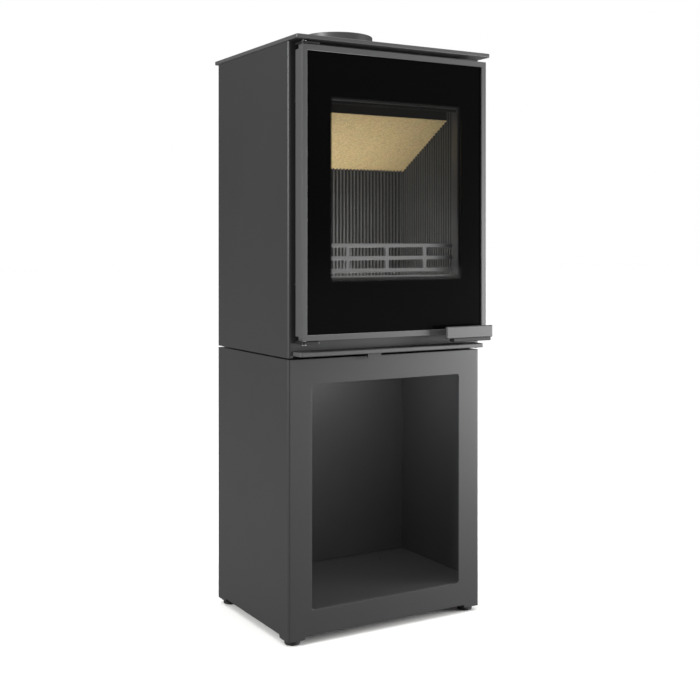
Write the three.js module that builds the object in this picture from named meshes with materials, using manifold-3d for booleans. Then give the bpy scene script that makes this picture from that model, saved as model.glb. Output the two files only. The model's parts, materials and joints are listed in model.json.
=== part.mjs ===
// A free-standing wood burning stove on a log store: a folded steel casing around a lined firebox,
// with a glazed door hinged on the left, a lever handle at its lower right corner and an air control
// under the front lip. Millimetres, +Z up, -Y is the front, X = 0 is the middle of the width.
// The origin lies on the floor, in the middle of the whole outline.
import * as THREE from 'three';
import { mergeVertices } from 'three/addons/utils/BufferGeometryUtils.js';
import Module from 'manifold-3d';

const wasm = await Module();
wasm.setup();

// ---------------------------------------------------------------------------------------------
// Driving dimensions
// ---------------------------------------------------------------------------------------------
const gap = 0.3; // between pieces that rest on each other
const roundSegments = 20; // steps in half a turn on the flue and the air spigot

// Casings
const bodyWidth = 440;
const bodyDepth = 320;
const baseHeight = 526; // log store casing
const seam = 3; // shadow line between the log store and the stove casing
const stoveHeight = 591; // stove casing, up to the top plate
const sheet = 3; // casing sheet
const bendRadius = 5; // outside radius of the folded corners

// Log store
const storeStile = 50.5; // casing left at each side of the opening
const storeSill = 53; // from the lower edge of the casing to the opening
const storeHeader = 48; // from the opening to the upper edge of the casing
const storeCornerRadius = 5;
const storeBackSpace = 39; // between the store's back wall and the back of the casing
const cornerLand = 37; // length of the casing's lower edge that is left full height at each corner
const edgeRelief = 6; // height cut out of the lower edge between the corners

// Feet
const footHeight = 10; // floor to casing, foot screwed right in
const footRadius = 15;
const footInset = 20; // foot axis from the casing's sides
const footInsetFront = 22;
const footInsetBack = 18;
const stemRadius = 4;
const stemLength = 34;
const padChamfer = 1; // lower edge of the foot's pad
const padShoulder = 3; // height of the slope at its top
const padSlope = 2; // width of that slope
const footRailWidth = 30;
const footRailThickness = 4;
const nutFlats = 13;
const nutHeight = 8;

// Joint between the log store and the stove
const spacerWidth = 24;
const boltRadius = 4;
const boltHeadFlats = 13;
const boltHeadHeight = 5;
const boltInset = 24; // bolt axis from the casing's sides
const boltInsetFront = 42; // bolt axis behind the front face
const boltInsetBack = 22; // bolt axis in front of the store's back wall

// Bottom plate with its front lip
const lipThickness = 8;
const lipRise = 4; // underside above the lower edge of the stove casing
const lipReach = 31; // in front of the casing
const lipInset = 10; // from each side of the casing
const lipCornerRadius = 5;

// Top plate and flue collar
const topThickness = 8;
const topSide = 1; // overhang at each side
const topBack = 16;
const topCornerRadius = 4;
const rearSlotPitch = 30; // slots in the rear panel
const rearSlotsEachSide = 5;
const rearSlotWidth = 8;
const rearSlotDrops = [30, 90]; // ends of the slots below the top plate
const flueDiameter = 150;
const flueWall = 3;
const collarHeight = 49; // above the top plate
const flueFromBack = 117; // its axis in front of the casing's back
const collarFlange = 10;

// Firebox shell
const shellWall = 4;
const convectionGap = 13; // between the casing's sides and the firebox
const shellBehindFlue = 8; // back of the firebox behind the flue
const shellFloorRise = 50.3; // underside of the floor above the casing's lower edge
const shellRoofDrop = 13.7; // top of the roof below the top plate
const frontPlateThickness = 6;
const fireOpeningRise = 152; // lower edge above the casing's lower edge
const fireOpeningDrop = 105; // upper edge below the top plate
const fireOpeningInset = 20; // from the rib tips of the side linings
const throatWall = 4;
const throatReach = 8; // the throat stands in front of the casing

// Linings
const liningThickness = 16; // rib tip to back
const liningSpace = 4; // behind the side linings
const ductSpace = 47; // from the back of the firebox to the back of the rear lining
const ribPitch = 8.5;
const ribWidth = 4;
const ribDepth = 4;
const baffleThickness = 25;
const baffleSlope = 30; // degrees, falling towards the back
const baffleFront = 58; // its lower front edge behind the front face
const baffleDrop = 15; // that edge below the fire opening's upper edge
const baffleEnd = 2; // its back edge in front of the firebox's back wall
const baffleSide = 1; // its ends inside the firebox's sides
const liningOverOpening = 30; // top of the side linings above the fire opening, in front of the baffle
const deflectorDrop = 25; // smoke deflector below the roof
const deflectorGap = 100; // left open behind it
const airHoleRadius = 2;
const airHolePitch = 3 * ribPitch; // every third groove
const airHoleDrops = [53, 84]; // the two rows below the top of the rear lining
const airHoleShifts = [2 * ribPitch, ribPitch]; // of the two rows sideways

// Fire bed, grate and ash pan
const bedRise = 109; // top of the bed plate above the casing's lower edge
const bedThickness = 10;
const bedLedge = 10;
const grateInset = 72; // seat from the rib tips of the side linings
const grateInsetEnd = 24; // seat from the front plate and the rear lining
const grateThickness = 8;
const grateSeat = 5; // depth of the recess that it lies in
const grateBorder = 8; // width of the seat
const grateSlots = 11;
const grateSlotWidth = 8;
const panInset = 13; // inside the grate's seat at each side
const panInsetFront = 18;
const panInsetBack = 8;
const panHeight = 36;
const panWall = 1.5;

// Log retainer
const retainerFront = 4; // behind the front face
const retainerThickness = 5;
const retainerBarHeight = 8;
const retainerPitch = 24.4;
const retainerRise = 157.7; // underside of the lowest bar above the casing's lower edge
const retainerEnd = 75; // length of each swept end, up to the side lining
const retainerSweep = 22; // how far the ends run back
const retainerClearance = 2; // of its ends inside the side linings
const retainerSteps = 5; // straight pieces in each swept end
const retainerPost = 8;
const postSetback = 0.5; // of the posts behind the bars' faces
const retainerPostPitch = 89;
const hookReach = 8;
const hookSide = 4; // of each hook in front of the retainer and behind it
const hookHeight = 10;

// Combustion air
const airTabWidth = 30;
const airTabDrop = 8; // below the level of the stem
const airStemDrop = 3.6; // top of the stem below the bottom plate's underside
const airSheet = 2;
const airTabOffset = -40; // tab from the middle with the air shut
const airTabReach = 14; // in front of the casing
const airTravel = 80;
const leverSlotPlay = 1; // at each end of the slot that the lever moves in
const leverSlotSide = 2; // in front of the lever and behind it
const airBoxWidth = 240;
const airBoxWall = 2;
const airValveWidth = 100;
const airPortWidth = 72;
const airPortDepth = 20;
const airPortFront = 16; // behind the front face
const airPortMargin = 10; // of the port in the floor past the port under it
const airBoxFront = 12; // behind the front face
const valveOverlap = [1, 4]; // of the valve plate in front of the port and behind it
const spigotDiameter = 98;
const spigotWall = 2;
const spigotRise = 75; // its axis above the casing's lower edge
const spigotFlange = 11;

// Door
const doorInset = 9.5; // from each side of the casing
const doorClearance = 10; // under the top plate
const doorRise = 34; // above the stove casing's lower edge
const doorDepth = 26;
const doorGap = 11; // between the back of the door frame and the casing
const doorLip = 11; // front face of the frame
const doorLipThickness = 3;
const doorWall = 6;
const doorNotchHeight = 8; // clearance cut at the hinge corners
const doorNotchDepth = 12;
const glassThickness = 4;
const tapeThickness = 2;
const tapeWidth = 10;
const sealWidth = 12;
const sealLand = 4; // wall at each side of the seal's groove
const sealGrooveDepth = 4;
const sealClearance = 4; // between the throat and the door's inner frame
const sealProud = 8.2; // the inner frame's back face in front of the casing
const innerFrameSheet = 3;
const screwRadius = 1.7;
const screwHeadRadius = 3;
const screwHeadHeight = 2;
const screwLength = 8;
const doorScrewRise = 170; // screws above and below the middle of the door

// Hinge
const hingeInset = 10.5; // axis from the door's left edge
const hingeSetback = 12; // axis behind the door's front face
const hingePinRadius = 3;
const hingePlateThickness = 5;
const hingePlateLength = 38;
const hingeClearance = 1.5;
const hingeLeft = 3; // bracket from the door's left edge
const hingeNose = 4; // bracket behind the door's front face
const pinCap = 1.5; // thickness and overhang of a pin's cap

// Handle
const handleLength = 113;
const handleHeight = 24;
const handleThickness = 5.7;
const handleStandoff = 3; // clear of the door's front face
const handleDrop = 7; // below the door
const leverLength = 92;
const leverHeight = 26;
const leverThickness = 14;
const leverDrop = 14; // below the door
const leverPlate = 12; // thickness of the part under the door
const pivotInset = 5.5; // lever axis from the door's right edge
const pivotSetback = 7; // lever axis behind the door's front face
const pivotRadius = 3;
const latchArm = 6;
const latchTongue = 9;
const latchDepth = 5; // of the tongue, front to back
const latchSetback = 3; // of its back face in front of the casing
const latchPlay = 0.6; // between the tongue and the keeper's lip
const latchOverlap = 1.5; // between the tongue's face and that lip when shut
const keeperLip = 5;
const keeperThickness = 3;
const leverShoulder = 3; // of the plate under the door beside the arm
const leverBehindPivot = 7;
const handleInset = 0.5; // from the door's right edge

// ---------------------------------------------------------------------------------------------
// Levels and planes worked out from them
// ---------------------------------------------------------------------------------------------
const halfBody = bodyWidth / 2;
const handleReach = doorGap + doorDepth + handleStandoff + leverThickness + gap + handleThickness;
const topFront = doorGap + doorDepth; // the top plate ends flush with the door's face
const front = -(bodyDepth + topBack - handleReach) / 2; // front face of both casings
const back = front + bodyDepth;
const inside = halfBody - sheet - gap; // half width of what stands between the casing's sides
const insideFront = front + bendRadius; // front edge of what fills that width, clear of the bends
const baseBottom = footHeight;
const baseTop = baseBottom + baseHeight;
const stoveBottom = baseTop + seam;
const topBottom = stoveBottom + stoveHeight;
const topTop = topBottom + topThickness;
const lipBottom = stoveBottom + lipRise;
const lipTop = lipBottom + lipThickness;
const shellBottom = stoveBottom + shellFloorRise;
const shellTop = topBottom - shellRoofDrop;
const flueRadius = flueDiameter / 2;
const flueY = back - flueFromBack;
const shellBack = flueY + flueRadius + shellBehindFlue;
const shellHalfWidth = halfBody - sheet - convectionGap;
const shellInside = shellHalfWidth - shellWall;
const chamberHalf = shellInside - liningSpace - liningThickness;
const airHoleReach = chamberHalf - airHolePitch; // no air hole lies further out
const liningBack = shellBack - ductSpace;
const chamberBack = liningBack - liningThickness;
const fireBottom = stoveBottom + fireOpeningRise;
const fireTop = topBottom - fireOpeningDrop;
const fireHalf = chamberHalf - fireOpeningInset;
const storeBack = back - storeBackSpace;
const lipHalf = halfBody - lipInset;
const bedTop = stoveBottom + bedRise;
const bedBottom = bedTop - bedThickness;
const doorFront = front - doorGap - doorDepth;
const doorBack = front - doorGap;
const doorBottom = stoveBottom + doorRise;
const doorTop = topBottom - doorClearance;
const doorMiddle = (doorBottom + doorTop) / 2;
const halfDoor = halfBody - doorInset;

// ---------------------------------------------------------------------------------------------
// Finishes
// ---------------------------------------------------------------------------------------------
function finish(color, roughness, metalness) {
  return () => new THREE.MeshStandardMaterial({ color, roughness, metalness });
}
const paintedSteel = finish(0x4b4b4b, 0.6, 0.2);
const paintedIron = finish(0x3d3d3d, 0.7, 0.2);
const darkSteel = finish(0x2e2e2e, 0.6, 0.4);
const zincSteel = finish(0x9a9a98, 0.4, 0.9);
const satinSteel = finish(0x969696, 0.35, 0.8);
const ceramicGlass = finish(0x101010, 0.05, 0.0);
const glassRope = finish(0xb9b5aa, 0.95, 0.0);
const vermiculite = finish(0xb99f73, 0.95, 0.0);

// ---------------------------------------------------------------------------------------------
// Shapes
// ---------------------------------------------------------------------------------------------
const stove = new THREE.Group();

function solidOf(geometry) {
  const bare = geometry.clone();
  bare.deleteAttribute('normal');
  bare.deleteAttribute('uv');
  const merged = mergeVertices(bare, 1e-4);
  return new wasm.Manifold(new wasm.Mesh({
    numProp: 3,
    vertProperties: new Float32Array(merged.attributes.position.array),
    triVerts: new Uint32Array(merged.index.array),
  }));
}

function geometryOf(solid) {
  const mesh = solid.getMesh();
  const geometry = new THREE.BufferGeometry();
  geometry.setAttribute('position', new THREE.BufferAttribute(mesh.vertProperties, 3));
  geometry.setIndex(new THREE.BufferAttribute(mesh.triVerts, 1));
  const flat = geometry.toNonIndexed();
  flat.computeVertexNormals();
  return flat;
}

function add(name, solid, material) {
  const mesh = new THREE.Mesh(geometryOf(solid), material());
  mesh.name = name;
  stove.add(mesh);
}

function box(x0, x1, y0, y1, z0, z1) {
  const geometry = new THREE.BoxGeometry(x1 - x0, y1 - y0, z1 - z0);
  return solidOf(geometry.translate((x0 + x1) / 2, (y0 + y1) / 2, (z0 + z1) / 2));
}

// A rectangle with its four corners rounded, in any plane.
function roundedRectangle(x0, x1, y0, y1, radius) {
  const shape = new THREE.Shape();
  shape.moveTo(x0 + radius, y0);
  shape.absarc(x1 - radius, y0 + radius, radius, -Math.PI / 2, 0);
  shape.absarc(x1 - radius, y1 - radius, radius, 0, Math.PI / 2);
  shape.absarc(x0 + radius, y1 - radius, radius, Math.PI / 2, Math.PI);
  shape.absarc(x0 + radius, y0 + radius, radius, Math.PI, 1.5 * Math.PI);
  return shape;
}

function disc(x, y, radius) {
  const shape = new THREE.Shape();
  shape.absarc(x, y, radius, 0, 2 * Math.PI);
  return shape;
}

function polygon(points) {
  return new THREE.Shape(points.map(([x, y]) => new THREE.Vector2(x, y)));
}

function extrude(shape, depth, segments) {
  return new THREE.ExtrudeGeometry(shape, { depth, bevelEnabled: false, curveSegments: segments });
}

// A shape drawn in X and Y, from z0 up to z1.
function upright(shape, z0, z1, segments = 6) {
  return solidOf(extrude(shape, z1 - z0, segments).translate(0, 0, z0));
}

// A shape drawn in X and Z, from y0 back to y1.
function facing(shape, y0, y1, segments = 6) {
  const geometry = extrude(shape, y1 - y0, segments).rotateX(Math.PI / 2);
  return solidOf(geometry.translate(0, y1, 0));
}

// A shape drawn in Y and Z, from x0 across to x1.
function sideways(shape, x0, x1, segments = 6) {
  const turn = new THREE.Matrix4().makeBasis(
    new THREE.Vector3(0, 1, 0),
    new THREE.Vector3(0, 0, 1),
    new THREE.Vector3(1, 0, 0),
  );
  return solidOf(extrude(shape, x1 - x0, segments).applyMatrix4(turn).translate(x0, 0, 0));
}

function pin(x, y, radius, z0, z1, segments = 6) {
  return upright(disc(x, y, radius), z0, z1, segments);
}

function hexagon(x, y, acrossFlats, z0, z1) {
  const corner = acrossFlats / Math.sqrt(3);
  const turn = (k) => [x + corner * Math.cos(k * Math.PI / 3), y + corner * Math.sin(k * Math.PI / 3)];
  return upright(polygon([0, 1, 2, 3, 4, 5].map(turn)), z0, z1);
}

// A rectangular ring in X and Z around (0, zMiddle), from y0 back to y1.
function ring(outerHalfWidth, outerHalfHeight, innerHalfWidth, innerHalfHeight, zMiddle, y0, y1) {
  const outer = box(-outerHalfWidth, outerHalfWidth, y0, y1,
    zMiddle - outerHalfHeight, zMiddle + outerHalfHeight);
  return outer.subtract(box(-innerHalfWidth, innerHalfWidth, y0 - 1, y1 + 1,
    zMiddle - innerHalfHeight, zMiddle + innerHalfHeight));
}

// The folded casing seen from above: front and two sides in one sheet, open at the back.
function casingOutline() {
  const inner = bendRadius - sheet;
  const shape = new THREE.Shape();
  shape.moveTo(-halfBody, back);
  shape.lineTo(-halfBody, front + bendRadius);
  shape.absarc(-halfBody + bendRadius, front + bendRadius, bendRadius, Math.PI, 1.5 * Math.PI);
  shape.absarc(halfBody - bendRadius, front + bendRadius, bendRadius, -Math.PI / 2, 0);
  shape.lineTo(halfBody, back);
  shape.lineTo(halfBody - sheet, back);
  shape.absarc(halfBody - bendRadius, front + bendRadius, inner, 0, -Math.PI / 2, true);
  shape.absarc(-halfBody + bendRadius, front + bendRadius, inner, -Math.PI / 2, -Math.PI, true);
  shape.lineTo(-halfBody + sheet, back);
  return shape;
}

// Lining seen in section: a plate whose face carries ribs with grooves between them. It is drawn
// along u from start to end, with the rib tips at v = 0 and the plate behind them.
function ribbedOutline(start, end, toward) {
  const count = Math.floor((end - start + ribPitch - ribWidth) / ribPitch);
  const margin = (end - start - (count * ribPitch - (ribPitch - ribWidth))) / 2;
  const points = [[start, toward * liningThickness], [start, toward * ribDepth]];
  for (let k = 0; k < count; k += 1) {
    const u = start + margin + k * ribPitch;
    points.push([u, toward * ribDepth], [u, 0], [u + ribWidth, 0], [u + ribWidth, toward * ribDepth]);
  }
  points.push([end, toward * ribDepth], [end, toward * liningThickness]);
  return points.filter(([u, v], k) => k === 0 || u !== points[k - 1][0] || v !== points[k - 1][1]);
}

// ---------------------------------------------------------------------------------------------
// Log store
// ---------------------------------------------------------------------------------------------
const footPlaces = [
  ['front_left', -halfBody + footInset, front + footInsetFront],
  ['front_right', halfBody - footInset, front + footInsetFront],
  ['back_left', -halfBody + footInset, back - footInsetBack],
  ['back_right', halfBody - footInset, back - footInsetBack],
];
const boltPlaces = [
  ['front_left', -halfBody + boltInset, front + boltInsetFront],
  ['front_right', halfBody - boltInset, front + boltInsetFront],
  ['back_left', -halfBody + boltInset, storeBack - boltInsetBack],
  ['back_right', halfBody - boltInset, storeBack - boltInsetBack],
];
const storeFloorTop = baseBottom + storeSill;
const storeFloorBottom = storeFloorTop - sheet;
const basePanelBottom = baseTop - sheet;

function makeLogStore() {
  const openingHalf = halfBody - storeStile;
  const opening = facing(roundedRectangle(-openingHalf, openingHalf, baseBottom + storeSill,
    baseTop - storeHeader, storeCornerRadius), front - 1, front + sheet + 1);
  const frontRelief = box(-halfBody + cornerLand, halfBody - cornerLand, front - 1, front + sheet + 1,
    baseBottom - 1, baseBottom + edgeRelief);
  const sideRelief = box(-halfBody - 1, halfBody + 1, front + cornerLand, back - cornerLand,
    baseBottom - 1, baseBottom + edgeRelief);
  const casing = upright(casingOutline(), baseBottom, baseTop);
  add('base_casing', casing.subtract(opening).subtract(frontRelief).subtract(sideRelief), paintedSteel);

  let topPanel = box(-inside, inside, insideFront, back - sheet - 2 * gap, basePanelBottom, baseTop);
  for (const [, x, y] of boltPlaces) {
    topPanel = topPanel.subtract(pin(x, y, boltRadius + gap, basePanelBottom - 1, baseTop + 1));
  }
  add('base_top_panel', topPanel, paintedSteel);
  add('base_floor_panel', box(-inside, inside, insideFront, back - sheet - 2 * gap,
    storeFloorBottom, storeFloorTop), paintedSteel);
  add('store_back_wall', box(-inside, inside, storeBack, storeBack + sheet,
    storeFloorTop + gap, basePanelBottom - gap), paintedSteel);
  add('base_rear_cover', box(-inside, inside, back - sheet - gap, back - gap,
    baseBottom + edgeRelief, baseTop), paintedSteel);
}

// A rail along each side carries the two weld nuts of that side's feet.
function makeFeet() {
  const railTop = storeFloorBottom - gap;
  for (const [side, sign] of [['left', -1], ['right', 1]]) {
    const x = sign * (halfBody - footInset);
    const places = footPlaces.filter(([name]) => name.endsWith(side));
    const edges = [sign * inside, sign * (inside - footRailWidth)].sort((a, b) => a - b);
    const railBottom = baseBottom + edgeRelief;
    let rail = box(edges[0], edges[1], insideFront, back - sheet - 2 * gap,
      railBottom, railBottom + footRailThickness);
    const webX = sign * (inside - footRailWidth);
    const web = [webX, webX + sign * footRailThickness].sort((a, b) => a - b);
    rail = rail.add(box(web[0], web[1], insideFront, back - sheet - 2 * gap,
      railBottom, railTop));
    for (const [, , y] of places) {
      rail = rail.add(hexagon(x, y, nutFlats, railBottom, railBottom + footRailThickness + nutHeight));
    }
    for (const [, , y] of places) {
      rail = rail.subtract(pin(x, y, stemRadius + gap, railBottom - 1, railTop));
    }
    add(`foot_rail_${side}`, rail, zincSteel);
  }
  const profile = [
    [0, 0], [footRadius - padChamfer, 0], [footRadius, padChamfer], [footRadius, footHeight - padShoulder],
    [footRadius - padSlope, footHeight - gap], [stemRadius, footHeight - gap],
    [stemRadius, footHeight - gap + stemLength - padChamfer],
    [stemRadius - padChamfer, footHeight - gap + stemLength],
    [0, footHeight - gap + stemLength],
  ];
  for (const [place, x, y] of footPlaces) {
    const turned = new THREE.LatheGeometry(profile.map(([r, z]) => new THREE.Vector2(r, z)), 16);
    add(`levelling_foot_${place}`, solidOf(turned.rotateX(Math.PI / 2).translate(x, y, 0)), darkSteel);
  }
}

// Two spacer bars lift the stove off the log store, and four bolts hold them together.
function makeStoveFixings() {
  const spacerBottom = baseTop + gap;
  const spacerTop = lipBottom - gap;
  for (const [side, sign] of [['left', -1], ['right', 1]]) {
    const x = sign * (halfBody - boltInset);
    let bar = box(x - spacerWidth / 2, x + spacerWidth / 2, front + boltInsetFront - spacerWidth / 2,
      storeBack - boltInsetBack + spacerWidth / 2, spacerBottom, spacerTop);
    for (const [, , y] of boltPlaces.filter(([name]) => name.endsWith(side))) {
      bar = bar.subtract(pin(x, y, boltRadius + gap, spacerBottom - 1, spacerTop + 1));
    }
    add(`spacer_bar_${side}`, bar, darkSteel);
  }
  const headTop = basePanelBottom - gap;
  for (const [place, x, y] of boltPlaces) {
    const head = hexagon(x, y, boltHeadFlats, headTop - boltHeadHeight, headTop);
    add(`stove_bolt_${place}`, head.add(pin(x, y, boltRadius, headTop - 1, lipTop + boltHeadHeight)),
      zincSteel);
  }
}

// ---------------------------------------------------------------------------------------------
// Stove casing
// ---------------------------------------------------------------------------------------------
const spigotZ = stoveBottom + spigotRise;
const throatHalf = fireHalf + throatWall;
const leverSlotHalf = airTravel / 2 + airTabWidth / 2;
const airStemTop = lipBottom - airStemDrop + airSheet;
const airRiserFront = front + airPortFront + airPortDepth / 2;

function makeStoveCasing() {
  const throatOpening = box(-throatHalf - gap, throatHalf + gap, front - 1, front + sheet + 1,
    fireBottom - throatWall - gap, fireTop + throatWall + gap);
  const lipNotch = box(-lipHalf - gap, lipHalf + gap, front - 1, front + sheet + 1,
    stoveBottom - 1, lipTop + gap);
  const casing = upright(casingOutline(), stoveBottom, topBottom - gap);
  add('stove_casing', casing.subtract(throatOpening).subtract(lipNotch), paintedSteel);

  // The bottom plate lies inside the casing, and its narrower front end comes out as the lip.
  const lipFront = front - lipReach;
  const shoulder = insideFront;
  const outline = new THREE.Shape();
  outline.moveTo(-inside, back - sheet - 2 * gap);
  outline.lineTo(-inside, shoulder);
  outline.lineTo(-lipHalf, shoulder);
  outline.absarc(-lipHalf + lipCornerRadius, lipFront + lipCornerRadius, lipCornerRadius,
    Math.PI, 1.5 * Math.PI);
  outline.absarc(lipHalf - lipCornerRadius, lipFront + lipCornerRadius, lipCornerRadius, -Math.PI / 2, 0);
  outline.lineTo(lipHalf, shoulder);
  outline.lineTo(inside, shoulder);
  outline.lineTo(inside, back - sheet - 2 * gap);
  let plate = upright(outline, lipBottom, lipTop);
  for (const [, x, y] of boltPlaces) {
    plate = plate.subtract(pin(x, y, boltRadius + gap, lipBottom - 1, lipTop + 1));
  }
  const slotEnd = leverSlotHalf + leverSlotPlay;
  const leverSlot = box(-slotEnd, slotEnd, airRiserFront - leverSlotSide,
    airRiserFront + airSheet + leverSlotSide, lipBottom - 1, lipTop + 1);
  add('bottom_plate', plate.subtract(leverSlot), paintedIron);

  const topOutline = roundedRectangle(-halfBody - topSide, halfBody + topSide, front - topFront,
    back + topBack, topCornerRadius);
  const topPlate = upright(topOutline, topBottom, topTop);
  const flueHole = pin(0, flueY, flueRadius + gap, topBottom - 1, topTop + 1, roundSegments);
  add('top_plate', topPlate.subtract(flueHole), paintedIron);

  const panelBottom = lipTop + gap;
  let panel = box(-inside, inside, back - sheet - gap, back - gap, panelBottom, topBottom - gap);
  const spigotHole = disc(0, spigotZ, spigotDiameter / 2 + gap);
  panel = panel.subtract(facing(spigotHole, back - 2 * sheet, back + 1, roundSegments));
  const [slotTop, slotBottom] = rearSlotDrops.map((drop) => topBottom - drop);
  const slotHalf = rearSlotWidth / 2;
  for (let k = -rearSlotsEachSide; k <= rearSlotsEachSide; k += 1) {
    const x = k * rearSlotPitch;
    const slot = roundedRectangle(x - slotHalf, x + slotHalf, slotBottom, slotTop, 0.98 * slotHalf);
    panel = panel.subtract(facing(slot, back - 2 * sheet, back + 1, 3));
  }
  add('back_panel', panel, paintedSteel);
}

function makeFlueCollar() {
  const flangeBottom = shellTop + gap;
  const tube = pin(0, flueY, flueRadius, flangeBottom, topTop + collarHeight, roundSegments)
    .add(pin(0, flueY, flueRadius + collarFlange, flangeBottom, flangeBottom + flueWall, roundSegments));
  const bore = pin(0, flueY, flueRadius - flueWall, flangeBottom - 1, topTop + collarHeight + 1,
    roundSegments);
  add('flue_collar', tube.subtract(bore), paintedIron);
}

// ---------------------------------------------------------------------------------------------
// Firebox
// ---------------------------------------------------------------------------------------------
const frontPlateBack = front + sheet + gap + frontPlateThickness;
const shellFloorTop = shellBottom + shellWall;
const shellWallBottom = shellFloorTop + gap;
const shellRoofBottom = shellTop - shellWall;
const deflectorBottom = shellRoofBottom - deflectorDrop - sheet;

function makeFireboxShell() {
  const plate = box(-shellHalfWidth, shellHalfWidth, front + sheet + gap, frontPlateBack,
    shellBottom, shellTop);
  const throat = box(-throatHalf, throatHalf, front - throatReach, frontPlateBack,
    fireBottom - throatWall, fireTop + throatWall);
  const opening = box(-fireHalf, fireHalf, front - throatReach - 1, frontPlateBack + 1,
    fireBottom, fireTop);
  add('fire_front_plate', plate.add(throat).subtract(opening), paintedSteel);

  const shellFront = frontPlateBack + gap;
  const port = box(-airTravel / 2 - airPortWidth / 2 - airPortMargin, airTravel / 2, front + airPortFront,
    front + airPortFront + airPortDepth, shellBottom - 1, shellFloorTop + 1);
  add('firebox_floor', box(-shellHalfWidth, shellHalfWidth, shellFront, shellBack,
    shellBottom, shellFloorTop).subtract(port), darkSteel);
  // Each side wall has two welded ledges, for the fire bed and for the smoke deflector.
  for (const [side, sign] of [['left', -1], ['right', 1]]) {
    const x = [sign * shellInside, sign * shellHalfWidth].sort((a, b) => a - b);
    const ledge = [sign * (shellInside - bedLedge), sign * (shellInside + 1)].sort((a, b) => a - b);
    const wall = box(x[0], x[1], shellFront, shellBack, shellWallBottom, shellRoofBottom - gap);
    const bedSupport = box(ledge[0], ledge[1], shellFront + bedLedge, shellBack - 2 * bedLedge,
      bedBottom - gap - bedLedge, bedBottom - gap);
    const deflectorSupport = box(ledge[0], ledge[1], shellFront + bedLedge,
      shellBack - shellWall - deflectorGap, deflectorBottom - gap - bedLedge, deflectorBottom - gap);
    add(`firebox_wall_${side}`, wall.add(bedSupport).add(deflectorSupport), darkSteel);
  }
  add('firebox_back_wall', box(-shellInside + gap, shellInside - gap, shellBack - shellWall, shellBack,
    shellWallBottom, shellRoofBottom - gap), darkSteel);
  const roof = box(-shellHalfWidth, shellHalfWidth, shellFront, shellBack, shellRoofBottom, shellTop);
  const smokeHole = pin(0, flueY, flueRadius - flueWall, shellRoofBottom - 1, shellTop + 1, roundSegments);
  add('firebox_roof', roof.subtract(smokeHole), darkSteel);
}

// Everything above the sloping underside of the baffle, moved down by drop.
const baffleY = front + baffleFront;
const baffleZ = fireTop - baffleDrop;
const slope = Math.tan(THREE.MathUtils.degToRad(baffleSlope));
const rearLiningTop = baffleZ - slope * (chamberBack - baffleY);
const liningTop = fireTop + liningOverOpening;

function aboveBaffle(drop) {
  const far = shellBack + ductSpace;
  return sideways(polygon([
    [baffleY, baffleZ - drop], [far, baffleZ - drop - slope * (far - baffleY)],
    [far, topTop], [baffleY, topTop],
  ]), -halfBody, halfBody);
}

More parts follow.
